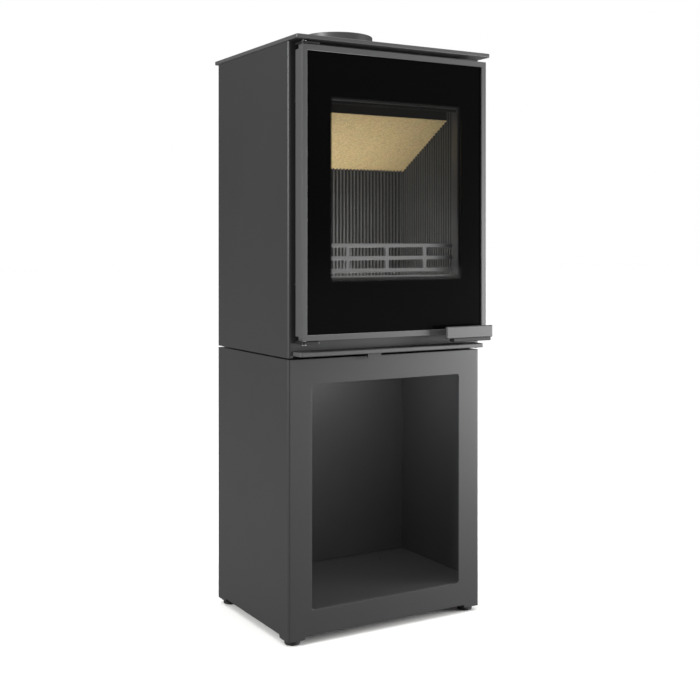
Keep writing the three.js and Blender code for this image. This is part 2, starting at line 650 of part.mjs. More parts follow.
function makeLinings() {
  const liningBottom = bedTop + gap;
  const sideFront = frontPlateBack + gap;
  const sideBack = shellBack - shellWall - gap;
  const clearance = aboveBaffle(gap);
  for (const [side, sign] of [['left', -1], ['right', 1]]) {
    const points = ribbedOutline(sideFront, sideBack, 1)
      .map(([y, depth]) => [sign * (chamberHalf + depth), y]);
    const outline = polygon(sign > 0 ? points : points.reverse());
    const lining = upright(outline, liningBottom, liningTop).subtract(clearance);
    // A cast hook at each side holds one end of the log retainer.
    const hookTop = stoveBottom + retainerRise - gap;
    const hook = [sign * (chamberHalf - hookReach), sign * (chamberHalf + ribDepth + 1)]
      .sort((a, b) => a - b);
    const hookFront = front + retainerFront + retainerSweep - hookSide;
    const hookBack = hookFront + retainerThickness + 2 * hookSide;
    add(`side_lining_${side}`, lining.add(box(hook[0], hook[1], hookFront, hookBack,
      hookTop - hookHeight, hookTop)), paintedIron);
  }
  const rearHalf = chamberHalf - gap;
  const outline = polygon(ribbedOutline(-rearHalf, rearHalf, 1)
    .map(([x, depth]) => [x, chamberBack + depth]).reverse());
  let rear = upright(outline, liningBottom, liningTop).subtract(clearance);
  airHoleDrops.forEach((drop, row) => {
    const steps = Math.floor((airHoleShifts[row] + airHoleReach) / airHolePitch);
    const firstHole = airHoleShifts[row] - steps * airHolePitch;
    for (let x = firstHole; x < airHoleReach; x += airHolePitch) {
      const hole = disc(x, rearLiningTop - drop, airHoleRadius);
      rear = rear.subtract(facing(hole, chamberBack - 1, liningBack + 1, 4));
    }
  });
  add('rear_lining', rear, paintedIron);

  // The baffle is one board, square-edged, that lies on the sloping tops of the linings.
  const angle = THREE.MathUtils.degToRad(baffleSlope);
  const depth = shellBack - shellWall - baffleEnd - baffleY;
  const run = (depth - baffleThickness * Math.sin(angle)) / Math.cos(angle);
  const along = [Math.cos(angle), -Math.sin(angle)];
  const up = [Math.sin(angle), Math.cos(angle)];
  const corner = (a, b) => [baffleY + a * along[0] + b * up[0], baffleZ + a * along[1] + b * up[1]];
  const board = polygon([corner(0, 0), corner(run, 0), corner(run, baffleThickness),
    corner(0, baffleThickness)]);
  add('baffle_board', sideways(board, -shellInside + baffleSide, shellInside - baffleSide), vermiculite);

  add('smoke_deflector', box(-shellInside + gap, shellInside - gap, sideFront,
    shellBack - shellWall - deflectorGap, deflectorBottom, deflectorBottom + sheet), darkSteel);

  // The air-wash bar is a folded angle along the top of the fire opening, inside the throat.
  const barHalf = fireHalf - gap;
  const barFront = front - throatReach / 2;
  const barTop = fireTop - gap;
  const shelf = box(-barHalf, barHalf, barFront, front + throatReach, barTop - airSheet, barTop);
  const apron = box(-barHalf, barHalf, barFront, barFront + airSheet, barTop - 3 * airSheet, barTop);
  add('air_wash_bar', shelf.add(apron), darkSteel);

  // The secondary air duct is a shallow tray on the back wall, open towards the rear lining.
  const ductBack = shellBack - shellWall - gap;
  const ductTop = rearLiningTop - airHoleDrops[0] + 3 * airHoleRadius;
  const tray = box(-airHoleReach, airHoleReach, liningBack + gap, ductBack, liningBottom, ductTop);
  const inside = airHoleReach - airSheet;
  add('secondary_air_duct', tray.subtract(box(-inside, inside, liningBack, ductBack - airSheet,
    liningBottom - 1, ductTop - airSheet)), darkSteel);
}

function makeFireBed() {
  const seatFront = frontPlateBack + grateInsetEnd;
  const seatBack = chamberBack - grateInsetEnd;
  const bed = box(-shellInside + gap, shellInside - gap, frontPlateBack + gap,
    shellBack - shellWall - gap, bedBottom, bedTop);
  const seatHalf = chamberHalf - grateInset;
  const seat = box(-seatHalf, seatHalf, seatFront, seatBack,
    bedTop - grateSeat, bedTop + 1);
  const well = box(-seatHalf + grateBorder, seatHalf - grateBorder, seatFront + grateBorder,
    seatBack - grateBorder, bedBottom - 1, bedTop + 1);
  add('fire_bed', bed.subtract(seat).subtract(well), paintedIron);

  const grateBottom = bedTop - grateSeat + gap;
  let grate = box(-seatHalf + 1, seatHalf - 1, seatFront + 1, seatBack - 1,
    grateBottom, grateBottom + grateThickness);
  const slotPitch = 2 * (seatHalf - 2 * grateBorder) / grateSlots;
  for (let k = 0; k < grateSlots; k += 1) {
    const x = (k - (grateSlots - 1) / 2) * slotPitch;
    grate = grate.subtract(box(x - grateSlotWidth / 2, x + grateSlotWidth / 2,
      seatFront + 2 * grateBorder, seatBack - 2 * grateBorder,
      grateBottom - 1, grateBottom + grateThickness + 1));
  }
  add('grate', grate, paintedIron);

  const panBottom = shellFloorTop + gap;
  const half = seatHalf - panInset;
  const panFront = seatFront + panInsetFront;
  const panBack = seatBack + panInsetBack;
  const pan = box(-half, half, panFront, panBack, panBottom, panBottom + panHeight);
  add('ash_pan', pan.subtract(box(-half + panWall, half - panWall, panFront + panWall,
    panBack - panWall, panBottom + panWall, panBottom + panHeight + 1)), darkSteel);
}

// The log retainer: three flat bars joined by three posts, its ends swept back to the hooks.
function makeLogRetainer() {
  const end = chamberHalf - retainerClearance;
  const straight = chamberHalf - retainerEnd;
  const sweep = (x) => {
    const beyond = Math.max(0, Math.abs(x) - straight) / (end - straight);
    return front + retainerFront + retainerSweep * beyond * beyond;
  };
  const stations = [-end];
  for (let k = 1; k < retainerSteps; k += 1) {
    stations.push(-end + (k / retainerSteps) * (end - straight));
  }
  stations.push(-straight);
  const all = [...stations, ...stations.map((x) => -x).reverse()];
  const outline = polygon([
    ...all.map((x) => [x, sweep(x)]),
    ...all.slice().reverse().map((x) => [x, sweep(x) + retainerThickness]),
  ]);
  const bottom = stoveBottom + retainerRise;
  const top = bottom + 2 * retainerPitch + retainerBarHeight;
  let retainer = null;
  for (let k = 0; k < 3; k += 1) {
    const bar = upright(outline, bottom + k * retainerPitch, bottom + k * retainerPitch + retainerBarHeight);
    retainer = retainer ? retainer.add(bar) : bar;
  }
  for (const x of [-retainerPostPitch, 0, retainerPostPitch]) {
    retainer = retainer.add(box(x - retainerPost / 2, x + retainerPost / 2,
      front + retainerFront + postSetback,
      front + retainerFront + retainerThickness, bottom, top));
  }
  add('log_retainer', retainer, paintedIron);
}

// ---------------------------------------------------------------------------------------------
// Combustion air
// ---------------------------------------------------------------------------------------------
function makeAirControl() {
  const boxHalf = airBoxWidth / 2;
  const boxTop = shellBottom - gap;
  const boxFront = front + airBoxFront;
  const portLeft = airTabOffset - airValveWidth / 2 + (airValveWidth - airPortWidth) / 2;
  const cover = box(-boxHalf, boxHalf, boxFront, shellBack, lipTop + gap, boxTop);
  const room = box(-boxHalf + airBoxWall, boxHalf - airBoxWall, boxFront + airBoxWall, shellBack + 1,
    lipTop, boxTop - airBoxWall);
  const port = box(portLeft, portLeft + airPortWidth, front + airPortFront,
    front + airPortFront + airPortDepth, boxTop - airBoxWall - 1, boxTop + 1);
  add('air_box', cover.subtract(room).subtract(port), darkSteel);

  // Tab, stem, riser and valve plate are one folded piece that slides sideways.
  const x0 = airTabOffset - airTabWidth / 2;
  const x1 = airTabOffset + airTabWidth / 2;
  const valveTop = boxTop - airBoxWall - gap;
  const tab = box(x0, x1, front - airTabReach, front - airTabReach + airSheet,
    airStemTop - airTabDrop, airStemTop);
  const stem = box(x0, x1, front - airTabReach, airRiserFront + airSheet, airStemTop - airSheet, airStemTop);
  const riser = box(x0 + airTabWidth / 4, x1 - airTabWidth / 4, airRiserFront, airRiserFront + airSheet,
    airStemTop - airSheet, valveTop);
  const valve = box(airTabOffset - airValveWidth / 2, airTabOffset + airValveWidth / 2,
    front + airPortFront - valveOverlap[0], front + airPortFront + airPortDepth + valveOverlap[1],
    valveTop - airSheet, valveTop);
  add('air_slider', tab.add(stem).add(riser).add(valve), paintedSteel);

  const radius = spigotDiameter / 2;
  const tubeFront = back - 4 * sheet;
  const tubeBack = back + topBack;
  const flange = disc(0, spigotZ, radius + spigotFlange);
  const tube = facing(disc(0, spigotZ, radius), tubeFront, tubeBack, roundSegments)
    .add(facing(flange, back, back + spigotWall, roundSegments));
  const bore = disc(0, spigotZ, radius - spigotWall);
  add('air_inlet_spigot', tube.subtract(facing(bore, tubeFront - 1, tubeBack + 1, roundSegments)), darkSteel);
}

// ---------------------------------------------------------------------------------------------
// Door
// ---------------------------------------------------------------------------------------------
const hingeX = -halfDoor + hingeInset;
const hingeY = doorFront + hingeSetback;
const pivotX = halfDoor - pivotInset;
const pivotY = doorFront + pivotSetback;
const doorScrewPlaces = [
  ['upper_left', -1, 1], ['lower_left', -1, -1], ['upper_right', 1, 1], ['lower_right', 1, -1],
];
const doorScrewX = halfDoor - doorWall / 2;
const innerFrameBack = front - sealProud;

function makeDoor() {
  const halfHeight = (doorTop - doorBottom) / 2;
  const outer = box(-halfDoor, halfDoor, doorFront, doorBack, doorBottom, doorTop);
  const sight = box(-halfDoor + doorLip, halfDoor - doorLip, doorFront - 1, doorBack + 1,
    doorBottom + doorLip, doorTop - doorLip);
  const pocket = box(-halfDoor + doorWall, halfDoor - doorWall, doorFront + doorLipThickness, doorBack + 1,
    doorBottom + doorWall, doorTop - doorWall);
  let frame = outer.subtract(sight).subtract(pocket);
  for (const z of [doorBottom, doorTop]) {
    frame = frame.subtract(box(-halfDoor - 1, -halfDoor + doorWall + 1, doorBack - doorNotchDepth,
      doorBack + 1, z - doorNotchHeight, z + doorNotchHeight));
    frame = frame.subtract(pin(hingeX, hingeY, hingePinRadius + gap, z - doorWall - 1, z + doorWall + 1));
  }
  frame = frame.subtract(pin(pivotX, pivotY, pivotRadius + gap, doorBottom - 1, doorBottom + doorWall + 1));
  for (const [, sx, sz] of doorScrewPlaces) {
    frame = frame.subtract(facing(disc(sx * doorScrewX, doorMiddle + sz * doorScrewRise,
      screwRadius + gap / 2), doorBack - screwLength, doorBack + 1, 4));
  }
  add('door_frame', frame, paintedIron);

  const glassHalf = halfDoor - doorWall - 1;
  const glassHalfHeight = halfHeight - doorWall - 1;
  const glassFront = doorFront + doorLipThickness + gap;
  const glassBack = glassFront + glassThickness;
  add('door_glass', box(-glassHalf, glassHalf, glassFront, glassBack, doorMiddle - glassHalfHeight,
    doorMiddle + glassHalfHeight), ceramicGlass);

  // The inner frame carries the seal in a groove just outside the throat of the fire opening.
  const sealMiddle = (fireBottom + fireTop) / 2;
  const innerHalf = throatHalf + sealClearance;
  const innerHalfHeight = (fireTop - fireBottom) / 2 + throatWall + 2 * sealClearance;
  const landWidth = 2 * sealLand + sealWidth;
  const tapeFront = glassBack + gap;
  const tapeBack = tapeFront + tapeThickness;
  const pressFront = tapeBack + gap;
  const sightHalf = fireHalf - sealClearance;
  const press = ring(innerHalf + landWidth, innerHalfHeight + landWidth, sightHalf, innerHalfHeight,
    sealMiddle, pressFront, pressFront + innerFrameSheet);
  const land = ring(innerHalf + landWidth, innerHalfHeight + landWidth, innerHalf, innerHalfHeight,
    sealMiddle, pressFront, innerFrameBack);
  const flangeOuter = box(-halfDoor + 1, halfDoor - 1, doorBack + gap, innerFrameBack,
    doorBottom + 1, doorTop - 1);
  const flange = flangeOuter.subtract(box(-innerHalf - 1, innerHalf + 1, doorBack, innerFrameBack + 1,
    sealMiddle - innerHalfHeight - 1, sealMiddle + innerHalfHeight + 1));
  const groove = ring(innerHalf + sealLand + sealWidth, innerHalfHeight + sealLand + sealWidth,
    innerHalf + sealLand, innerHalfHeight + sealLand, sealMiddle,
    innerFrameBack - sealGrooveDepth, innerFrameBack + 1);
  let innerFrame = press.add(land).add(flange).subtract(groove);
  for (const z of [doorBottom, doorTop]) {
    innerFrame = innerFrame.subtract(box(-halfDoor, -halfDoor + 3 * hingeInset, doorBack, innerFrameBack + 1,
      z - doorNotchHeight, z + doorNotchHeight));
  }
  for (const [, sx, sz] of doorScrewPlaces) {
    innerFrame = innerFrame.subtract(facing(disc(sx * doorScrewX, doorMiddle + sz * doorScrewRise,
      screwRadius + gap), doorBack, innerFrameBack + 1, 4));
  }
  add('door_inner_frame', innerFrame, darkSteel);
  add('glass_tape', ring(innerHalf + landWidth - 2, innerHalfHeight + landWidth - 2,
    innerHalf + landWidth - 2 - tapeWidth, innerHalfHeight + landWidth - 2 - tapeWidth, sealMiddle,
    tapeFront, tapeBack), glassRope);
  add('door_seal', ring(innerHalf + sealLand + sealWidth - gap, innerHalfHeight + sealLand + sealWidth - gap,
    innerHalf + sealLand + gap, innerHalfHeight + sealLand + gap, sealMiddle,
    innerFrameBack - sealGrooveDepth + gap, front - gap), glassRope);

  for (const [place, sx, sz] of doorScrewPlaces) {
    const x = sx * doorScrewX;
    const z = doorMiddle + sz * doorScrewRise;
    const headFront = innerFrameBack + gap;
    const shank = facing(disc(x, z, screwRadius), doorBack - screwLength + 1, headFront + gap, 4);
    add(`door_screw_${place}`, shank.add(facing(disc(x, z, screwHeadRadius), headFront,
      headFront + screwHeadHeight, 4)), darkSteel);
  }
}

// Each hinge bracket is an angle fixed to the casing, with a loose pin standing in it.
function makeHinges() {
  const left = -halfDoor + hingeLeft;
  const right = left + hingePlateLength;
  const nose = doorFront + hingeNose;
  for (const [place, side, z] of [['upper', 1, doorTop], ['lower', -1, doorBottom]]) {
    const near = z + side * hingeClearance;
    const far = near + side * hingePlateThickness;
    const levels = [Math.min(near, far), Math.max(near, far)];
    const outline = roundedRectangle(left, right, nose, front - gap, hingePlateThickness);
    let bracket = upright(outline, levels[0], levels[1], 4);
    bracket = bracket.subtract(pin(hingeX, hingeY, hingePinRadius + gap, levels[0] - 1, levels[1] + 1));
    add(`hinge_bracket_${place}`, bracket, darkSteel);
    const tip = z - side * (doorWall - 1);
    const head = far + side * gap;
    const cap = [head, head + side * pinCap].sort((a, b) => a - b);
    const span = [tip, head + side * pinCap / 3].sort((a, b) => a - b);
    const stud = pin(hingeX, hingeY, hingePinRadius, span[0], span[1])
      .add(pin(hingeX, hingeY, hingePinRadius + pinCap, cap[0], cap[1]));
    add(`hinge_pin_${place}`, stud, zincSteel);
  }
}

// ---------------------------------------------------------------------------------------------
// Handle and latch
// ---------------------------------------------------------------------------------------------
function makeHandle() {
  const right = halfDoor - handleInset;
  const barFront = front - handleReach;
  const barBack = barFront + handleThickness;
  const barBottom = doorBottom - handleDrop;
  const face = roundedRectangle(right - handleLength, right, barBottom, barBottom + handleHeight, 2);
  add('handle_bar', facing(face, barFront, barBack, 3), satinSteel);

  const leverFront = barBack + gap;
  const leverBottom = doorBottom - leverDrop;
  const leverBack = leverFront + leverThickness;
  const plateTop = leverBottom + leverPlate;
  const tongueBack = front - latchSetback;
  const armLeft = pivotX - latchArm;
  const plateBack = pivotY + leverBehindPivot;
  const tongueFront = tongueBack - latchDepth;
  let lever = box(right - leverLength, right, leverFront, leverBack, leverBottom, leverBottom + leverHeight);
  lever = lever.add(box(armLeft - leverShoulder, right, leverBack - 1, plateBack, leverBottom, plateTop));
  lever = lever.add(box(armLeft, pivotX, plateBack - 1, tongueBack, leverBottom, plateTop));
  lever = lever.add(box(armLeft, armLeft + latchTongue, tongueFront, tongueBack, leverBottom, plateTop));
  lever = lever.subtract(pin(pivotX, pivotY, pivotRadius + gap, leverBottom - 1, plateTop + 1));
  add('handle_lever', lever, darkSteel);

  const capTop = leverBottom - gap;
  const stud = pin(pivotX, pivotY, pivotRadius, capTop - pinCap / 3, doorBottom + doorWall - gap)
    .add(pin(pivotX, pivotY, pivotRadius + pinCap, capTop - pinCap, capTop));
  add('handle_pin', stud, zincSteel);

  // The keeper is a folded strip on the casing: a foot, a wall standing forward and a short lip.
  const lipEdge = armLeft + latchTongue + latchPlay;
  const wall = lipEdge + keeperLip;
  const keeperBack = front - gap;
  const lipY = tongueFront - latchOverlap - keeperThickness;
  const keeper = box(wall, wall + keeperThickness, lipY, keeperBack, leverBottom, plateTop)
    .add(box(lipEdge, wall + 1, lipY, lipY + keeperThickness, leverBottom, plateTop));
  add('latch_keeper', keeper, zincSteel);
}

makeLogStore();
makeFeet();
makeStoveFixings();
makeStoveCasing();
makeFlueCollar();
makeFireboxShell();
makeLinings();
makeFireBed();
makeLogRetainer();
makeAirControl();
makeDoor();
makeHinges();
makeHandle();

export default stove;
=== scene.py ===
"""A free-standing wood burning stove on a log store: folded and painted sheet, a glazed cast door, ribbed
fireside castings, a vermiculite baffle and turned feet, built around a fixed frame of parts.

Lengths in this file are millimetres unless a comment says metres. +Z is up and -Y is the front of the stove.
"""

import json

import bmesh
import bpy
import numpy as np
from bpy.props import FloatProperty, FloatVectorProperty, PointerProperty
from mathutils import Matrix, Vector
from mathutils.geometry import delaunay_2d_cdt


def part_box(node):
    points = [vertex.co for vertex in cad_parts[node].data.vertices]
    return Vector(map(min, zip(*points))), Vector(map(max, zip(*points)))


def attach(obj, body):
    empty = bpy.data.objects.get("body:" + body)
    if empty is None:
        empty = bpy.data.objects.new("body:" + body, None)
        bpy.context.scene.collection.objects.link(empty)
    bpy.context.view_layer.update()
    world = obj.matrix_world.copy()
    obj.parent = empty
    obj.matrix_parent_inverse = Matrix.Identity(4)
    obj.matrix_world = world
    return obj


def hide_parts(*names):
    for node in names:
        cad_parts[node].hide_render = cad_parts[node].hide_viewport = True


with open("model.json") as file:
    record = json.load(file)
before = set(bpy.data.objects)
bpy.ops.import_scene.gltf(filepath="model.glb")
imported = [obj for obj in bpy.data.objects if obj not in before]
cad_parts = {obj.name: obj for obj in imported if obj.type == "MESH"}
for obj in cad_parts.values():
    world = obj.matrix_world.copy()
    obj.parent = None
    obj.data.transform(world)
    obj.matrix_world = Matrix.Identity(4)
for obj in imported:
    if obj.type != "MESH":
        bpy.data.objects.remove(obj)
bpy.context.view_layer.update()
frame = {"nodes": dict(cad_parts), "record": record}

bl_info = {
    "name": "Wood burning stove",
    "version": (1, 0, 0),
    "blender": (4, 5, 0),
    "location": "3D View > Sidebar > Stove",
    "description": "Builds the surfaces and finishes of a free-standing wood burning stove",
    "category": "Add Mesh",
}

RECORD = frame["record"]
SLOT_OF = {part["node"]: part["material_slot"] for part in RECORD["subparts"]}
BODY_OF = {node: body for body, nodes in RECORD["behaviour"]["bodies"].items() for node in nodes}
MM = 0.001
GAP = 0.3  # between pieces that lie on each other
FINE = 0.01  # a step this small makes a square corner in a carried profile
CORNERS = ("front_left", "front_right", "back_left", "back_right")

# Places that no part's own box gives
LAND_CORNER = 2.6  # rounding of the log store's lower edge where its corner lands end
SHEET_CORNER = 0.5
LIP_HALF = 210.0
LIP_CORNER = 5.0
TOP_CORNER = 4.0
THROAT = (164.0, 687.0, 1029.0)  # half width, bottom and top of the throat
THROAT_WALL, THROAT_CORNER, FRONT_PLATE = 4.0, 5.0, 6.0
FLOOR_SCREW = (125.0, 93.0)
LEVER_SLOT = (56.0, -114.0, -108.0)  # half width, front and back
BOLT_RADIUS, BOLT_HEAD = 4.0, 5.0
FLUE_RADIUS = 75.0
SPIGOT_RADIUS, SPIGOT_LEVEL, SPIGOT_FLANGE = 49.0, 614.0, 182.0
SLOT = (4.0, 1040.0, 1100.0)  # half width, bottom and top of a rear slot
SLOT_COUNT, SLOT_PITCH = 5, 30.0
REAR_SCREW_INSET = 14.0
STEM_RADIUS, THREAD_PITCH, PAD_HEIGHT = 4.0, 1.25, 9.7
CHAMBER_HALF = 180.0
HOOK = (8.0, -116.0, -103.0, 686.4, 696.4)  # reach, front, back, bottom and top of a retainer hook
BAFFLE_EDGE = (-80.0, 1010.0)  # depth and height of the baffle's lower front edge
BAFFLE_SLOPE = np.radians(30)
BAFFLE_THICKNESS = 25.0
LINING_TOP = 1055.0
AIR_HOLES = ((53.0, 17.0), (84.0, 8.5))  # each row's drop below the lining's top, and its shift sideways
AIR_HOLE_RADIUS, AIR_HOLE_PITCH, AIR_HOLE_REACH = 2.0, 25.5, 154.5
RETAINER_BAR, RETAINER_PITCH, RETAINER_POSTS = 8.0, 24.4, 89.0
RETAINER_THICKNESS, RETAINER_END = 5.0, 73.0
GRATE_BORDER, GRATE_SLOTS, GRATE_SLOT = 16.0, 11, 8.0
DOOR_WALL, DOOR_LIP, DOOR_LIP_THICKNESS = 6.0, 11.0, 3.0
HORIZON_GLOW, OVERHEAD_GLOW = 0.05, 2.3  # brightness of the white surround, level and straight up
NOTCH = (8.0, 12.0)  # height and depth of the door's hinge notches


# ------------------------------------------------------------------------------------------------
# Sizes and colours that a user would change
# ------------------------------------------------------------------------------------------------
def millimetres(name, description, default):
    """A length setting, given here in millimetres and kept by Blender in metres."""
    return FloatProperty(name=name, description=description, default=default * MM, min=0.0,
                         subtype="DISTANCE", unit="LENGTH")


def linear(code):
    """The linear red, green and blue of an sRGB hex colour."""
    channels = np.array([int(code[i:i + 2], 16) for i in (0, 2, 4)]) / 255
    low, high = channels / 12.92, ((channels + 0.055) / 1.055) ** 2.4
    return tuple(np.where(channels <= 0.04045, low, high).tolist())


def colour(name, description, code):
    """A colour setting whose default is an sRGB hex code."""
    return FloatVectorProperty(name=name, description=description, default=linear(code), size=3,
                               min=0.0, max=1.0, subtype="COLOR")


class StoveSizes(bpy.types.PropertyGroup):
    """Sizes of the surfaces."""

    sheet: millimetres("Sheet", "Thickness of the folded casing sheet", 3.0)
    bend: millimetres("Bend", "Outside radius of the casing's folds", 5.0)
    sheet_edge: millimetres("Sheet edge", "Rounding of a painted sheet edge", 0.6)
    plate_edge: millimetres("Plate edge", "Rounding of the top and bottom plates' edges", 1.6)
    cast_edge: millimetres("Cast edge", "Rounding of a casting's edges", 0.9)
    handle_edge: millimetres("Handle edge", "Rounding around the handle's face", 2.2)
    store_stile: millimetres("Store stile", "Casing left at each side of the log store's opening", 50.5)
    store_sill: millimetres("Store sill", "Casing left below the log store's opening", 53.0)
    store_header: millimetres("Store header", "Casing left above the log store's opening", 48.0)
    corner_land: millimetres("Corner land", "Full-height length of the lower edge at each corner", 37.0)
    edge_relief: millimetres("Edge relief", "Height cut out of the lower edge between the corners", 6.0)
    rib_pitch: millimetres("Rib pitch", "Distance from one lining rib to the next", 8.5)
    rib_width: millimetres("Rib width", "Width of a lining rib", 4.0)
    rib_depth: millimetres("Rib depth", "How far a lining rib stands out", 4.0)
    window_side: millimetres("Window side", "From the clear window's middle to the print beside it", 148.0)
    window_shift: millimetres("Window shift", "From the pane's middle to the middle of the clear window", 2.5)
    window_low: millimetres("Window low", "From the pane's lower edge to the clear window", 104.0)
    window_high: millimetres("Window high", "From the pane's upper edge to the clear window", 87.0)
    print_fade: millimetres("Print fade", "Width over which the print breaks up into dots", 9.0)


class StoveColours(bpy.types.PropertyGroup):
    """Colours of the finishes."""

    sheet_paint: colour("Sheet paint", "Stove paint on the casings", "303031")
    cast_paint: colour("Cast paint", "Stove paint on the door frame, plates and flue collar", "4a4a4b")
    fireside: colour("Fireside", "Painted castings inside the firebox", "5c5c5c")
    inner_steel: colour("Inner steel", "Blackened steel of the firebox shell", "1c1c1c")
    zinc: colour("Zinc", "Zinc-plated fixings", "b4b6b8")
    handle: colour("Handle", "Satin steel of the handle", "535353")
    enamel: colour("Enamel", "Print on the pane's border", "070707")
    foot: colour("Foot", "Moulded feet", "1c1c1c")
    rope: colour("Rope", "Glass fibre rope and tape", "c8c3b6")
    vermiculite: colour("Vermiculite", "Pressed vermiculite board", "ebcf97")
    # painted shade for the baffle's cut front edge
    front_edge_shade: colour("Front edge shade", "Painted shade on the vermiculite's cut front edge", "2a241e")
    floor: colour("Floor", "Floor under the stove", "f6f6f4")


def size(name):
    """One of the sizes, in millimetres."""
    return getattr(bpy.context.scene.stove_sizes, name) / MM


def colours():
    """The colours, as set in the panel."""
    return bpy.context.scene.stove_colours


# ------------------------------------------------------------------------------------------------
# Outlines and surfaces, as whole arrays
# ------------------------------------------------------------------------------------------------
def unit(vectors):
    """Vectors divided by their own lengths."""
    return vectors / np.linalg.norm(vectors, axis=-1, keepdims=True)


def softened(corners, cut, steps=6):
    """A closed outline whose corners are rounded.

    Each corner becomes the rational quadratic curve from `cut` before it to `cut` after it, with the corner
    as its control point weighted by the cosine of half the turn, which is an arc of a circle.
    """
    corners = np.asarray(corners, float)
    cut = np.broadcast_to(np.asarray(cut, float), len(corners))[:, None]
    before = unit(np.roll(corners, 1, 0) - corners)
    after = unit(np.roll(corners, -1, 0) - corners)
    weight = np.sqrt(np.clip((1 - (before * after).sum(1)) / 2, 0, 1))[:, None, None]
    t = np.linspace(0, 1, steps + 1)[None, :, None]
    first, middle, last = (1 - t) ** 2, 2 * weight * t * (1 - t), t ** 2
    start, end = (corners + cut * before)[:, None], (corners + cut * after)[:, None]
    curve = (first * start + middle * corners[:, None] + last * end) / (first + middle + last)
    points = curve.reshape(-1, 2)
    return points[np.linalg.norm(points - np.roll(points, 1, 0), axis=1) > FINE / 10]


def rectangle(x0, x1, y0, y1, cut=0.0, steps=6):
    """A rectangle, counter-clockwise, with rounded corners."""
    return softened([(x0, y0), (x1, y0), (x1, y1), (x0, y1)], cut, steps)


def circle(x, y, radius, count=48):
    """A circle, counter-clockwise: centre plus radius times the cosine and sine of an evenly running angle."""
    angle = np.linspace(0, 2 * np.pi, count, endpoint=False)
    return np.stack([x + radius * np.cos(angle), y + radius * np.sin(angle)], 1)


def inset(outline, distance):
    """An outline moved to its left by a distance, a number for each point or one for all.

    Each point moves along the sum of its two edges' unit normals divided by one plus their product, which
    keeps every edge parallel to itself.
    """
    ahead = unit(np.roll(outline, -1, 0) - outline)
    normal = np.stack([-ahead[:, 1], ahead[:, 0]], 1)
    behind = np.roll(normal, 1, 0)
    share = (normal + behind) / (1 + (normal * behind).sum(1, keepdims=True))
    return outline + np.asarray(distance)[..., None] * share


def resampled(outline, count):
    """A closed outline as `count` points at equal distances along it."""
    closed = np.vstack([outline, outline[:1]])
    along = np.concatenate([[0], np.cumsum(np.linalg.norm(np.diff(closed, axis=0), axis=1))])
    wanted = np.linspace(0, along[-1], count, endpoint=False)
    return np.stack([np.interp(wanted, along, closed[:, k]) for k in (0, 1)], 1)


def creased(outline, creases):
    """An outline with a point added wherever an edge crosses a crease, a line of constant first coordinate."""
    here, there = outline[:, :1], np.roll(outline, -1, 0)[:, :1]
    lines = np.asarray(creases, float)[None, :]
    edge, line = np.nonzero((here - lines) * (there - lines) < 0)
    share = (lines[0, line] - here[edge, 0]) / (there[edge, 0] - here[edge, 0])
    place = np.sort(np.concatenate([np.arange(len(outline)), edge + share]))
    low = np.floor(place).astype(int)
    part = (place - low)[:, None]
    return outline[low] * (1 - part) + np.roll(outline, -1, 0)[low] * part


def inside(points, outline):
    """Which points lie inside an outline: those whose ray towards +X crosses it an odd number of times."""
    x, y = points[:, :1], points[:, 1:]
    a, b = outline, np.roll(outline, -1, 0)
    spans = (a[None, :, 1] > y) != (b[None, :, 1] > y)
    rise = np.where(a[:, 1] == b[:, 1], 1.0, b[:, 1] - a[:, 1])
    crossing = a[None, :, 0] + (y - a[None, :, 1]) * (b[:, 0] - a[:, 0]) / rise
    return (spans & (crossing > x)).sum(1) % 2 == 1


def quads(rows, columns, wrap_rows=False, wrap_columns=True):
    """The four-sided faces of a grid of points, closed on itself along either direction."""
    index = np.arange(rows * columns).reshape(rows, columns)
    if wrap_rows:
        index = np.vstack([index, index[:1]])
    if wrap_columns:
        index = np.hstack([index, index[:, :1]])
    return np.stack([index[:-1, :-1], index[:-1, 1:], index[1:, 1:], index[1:, :-1]], -1).reshape(-1, 4)


def carried(profile, outline, closed=True):
    """A profile carried round a closed outline, as a grid.

    Profile point (inset, height) gives the outline moved inwards by the inset and lifted by the height.
    Either may hold a value for every point of the outline, so that the profile changes along the way.
    """
    profile = np.asarray(profile, float)
    if profile.ndim == 2:
        profile = np.repeat(profile[:, None, :], len(outline), 1)
    rings = inset(outline, profile[..., 0])
    points = np.concatenate([rings, profile[..., 1:]], -1)
    return points.reshape(-1, 3), [quads(*profile.shape[:2], wrap_rows=closed)]


def rim(low, high, radius, steps=4):
    """Profile of a plate's edge: a quarter round from the lower face, the wall, a quarter round to the top."""
    angle = np.linspace(0, np.pi / 2, steps + 1)
    lower = np.stack([radius * (1 - np.sin(angle)), low + radius * (1 - np.cos(angle))], 1)
    upper = np.stack([radius * (1 - np.cos(angle)), high - radius * (1 - np.sin(angle))], 1)
    return np.vstack([lower, upper])


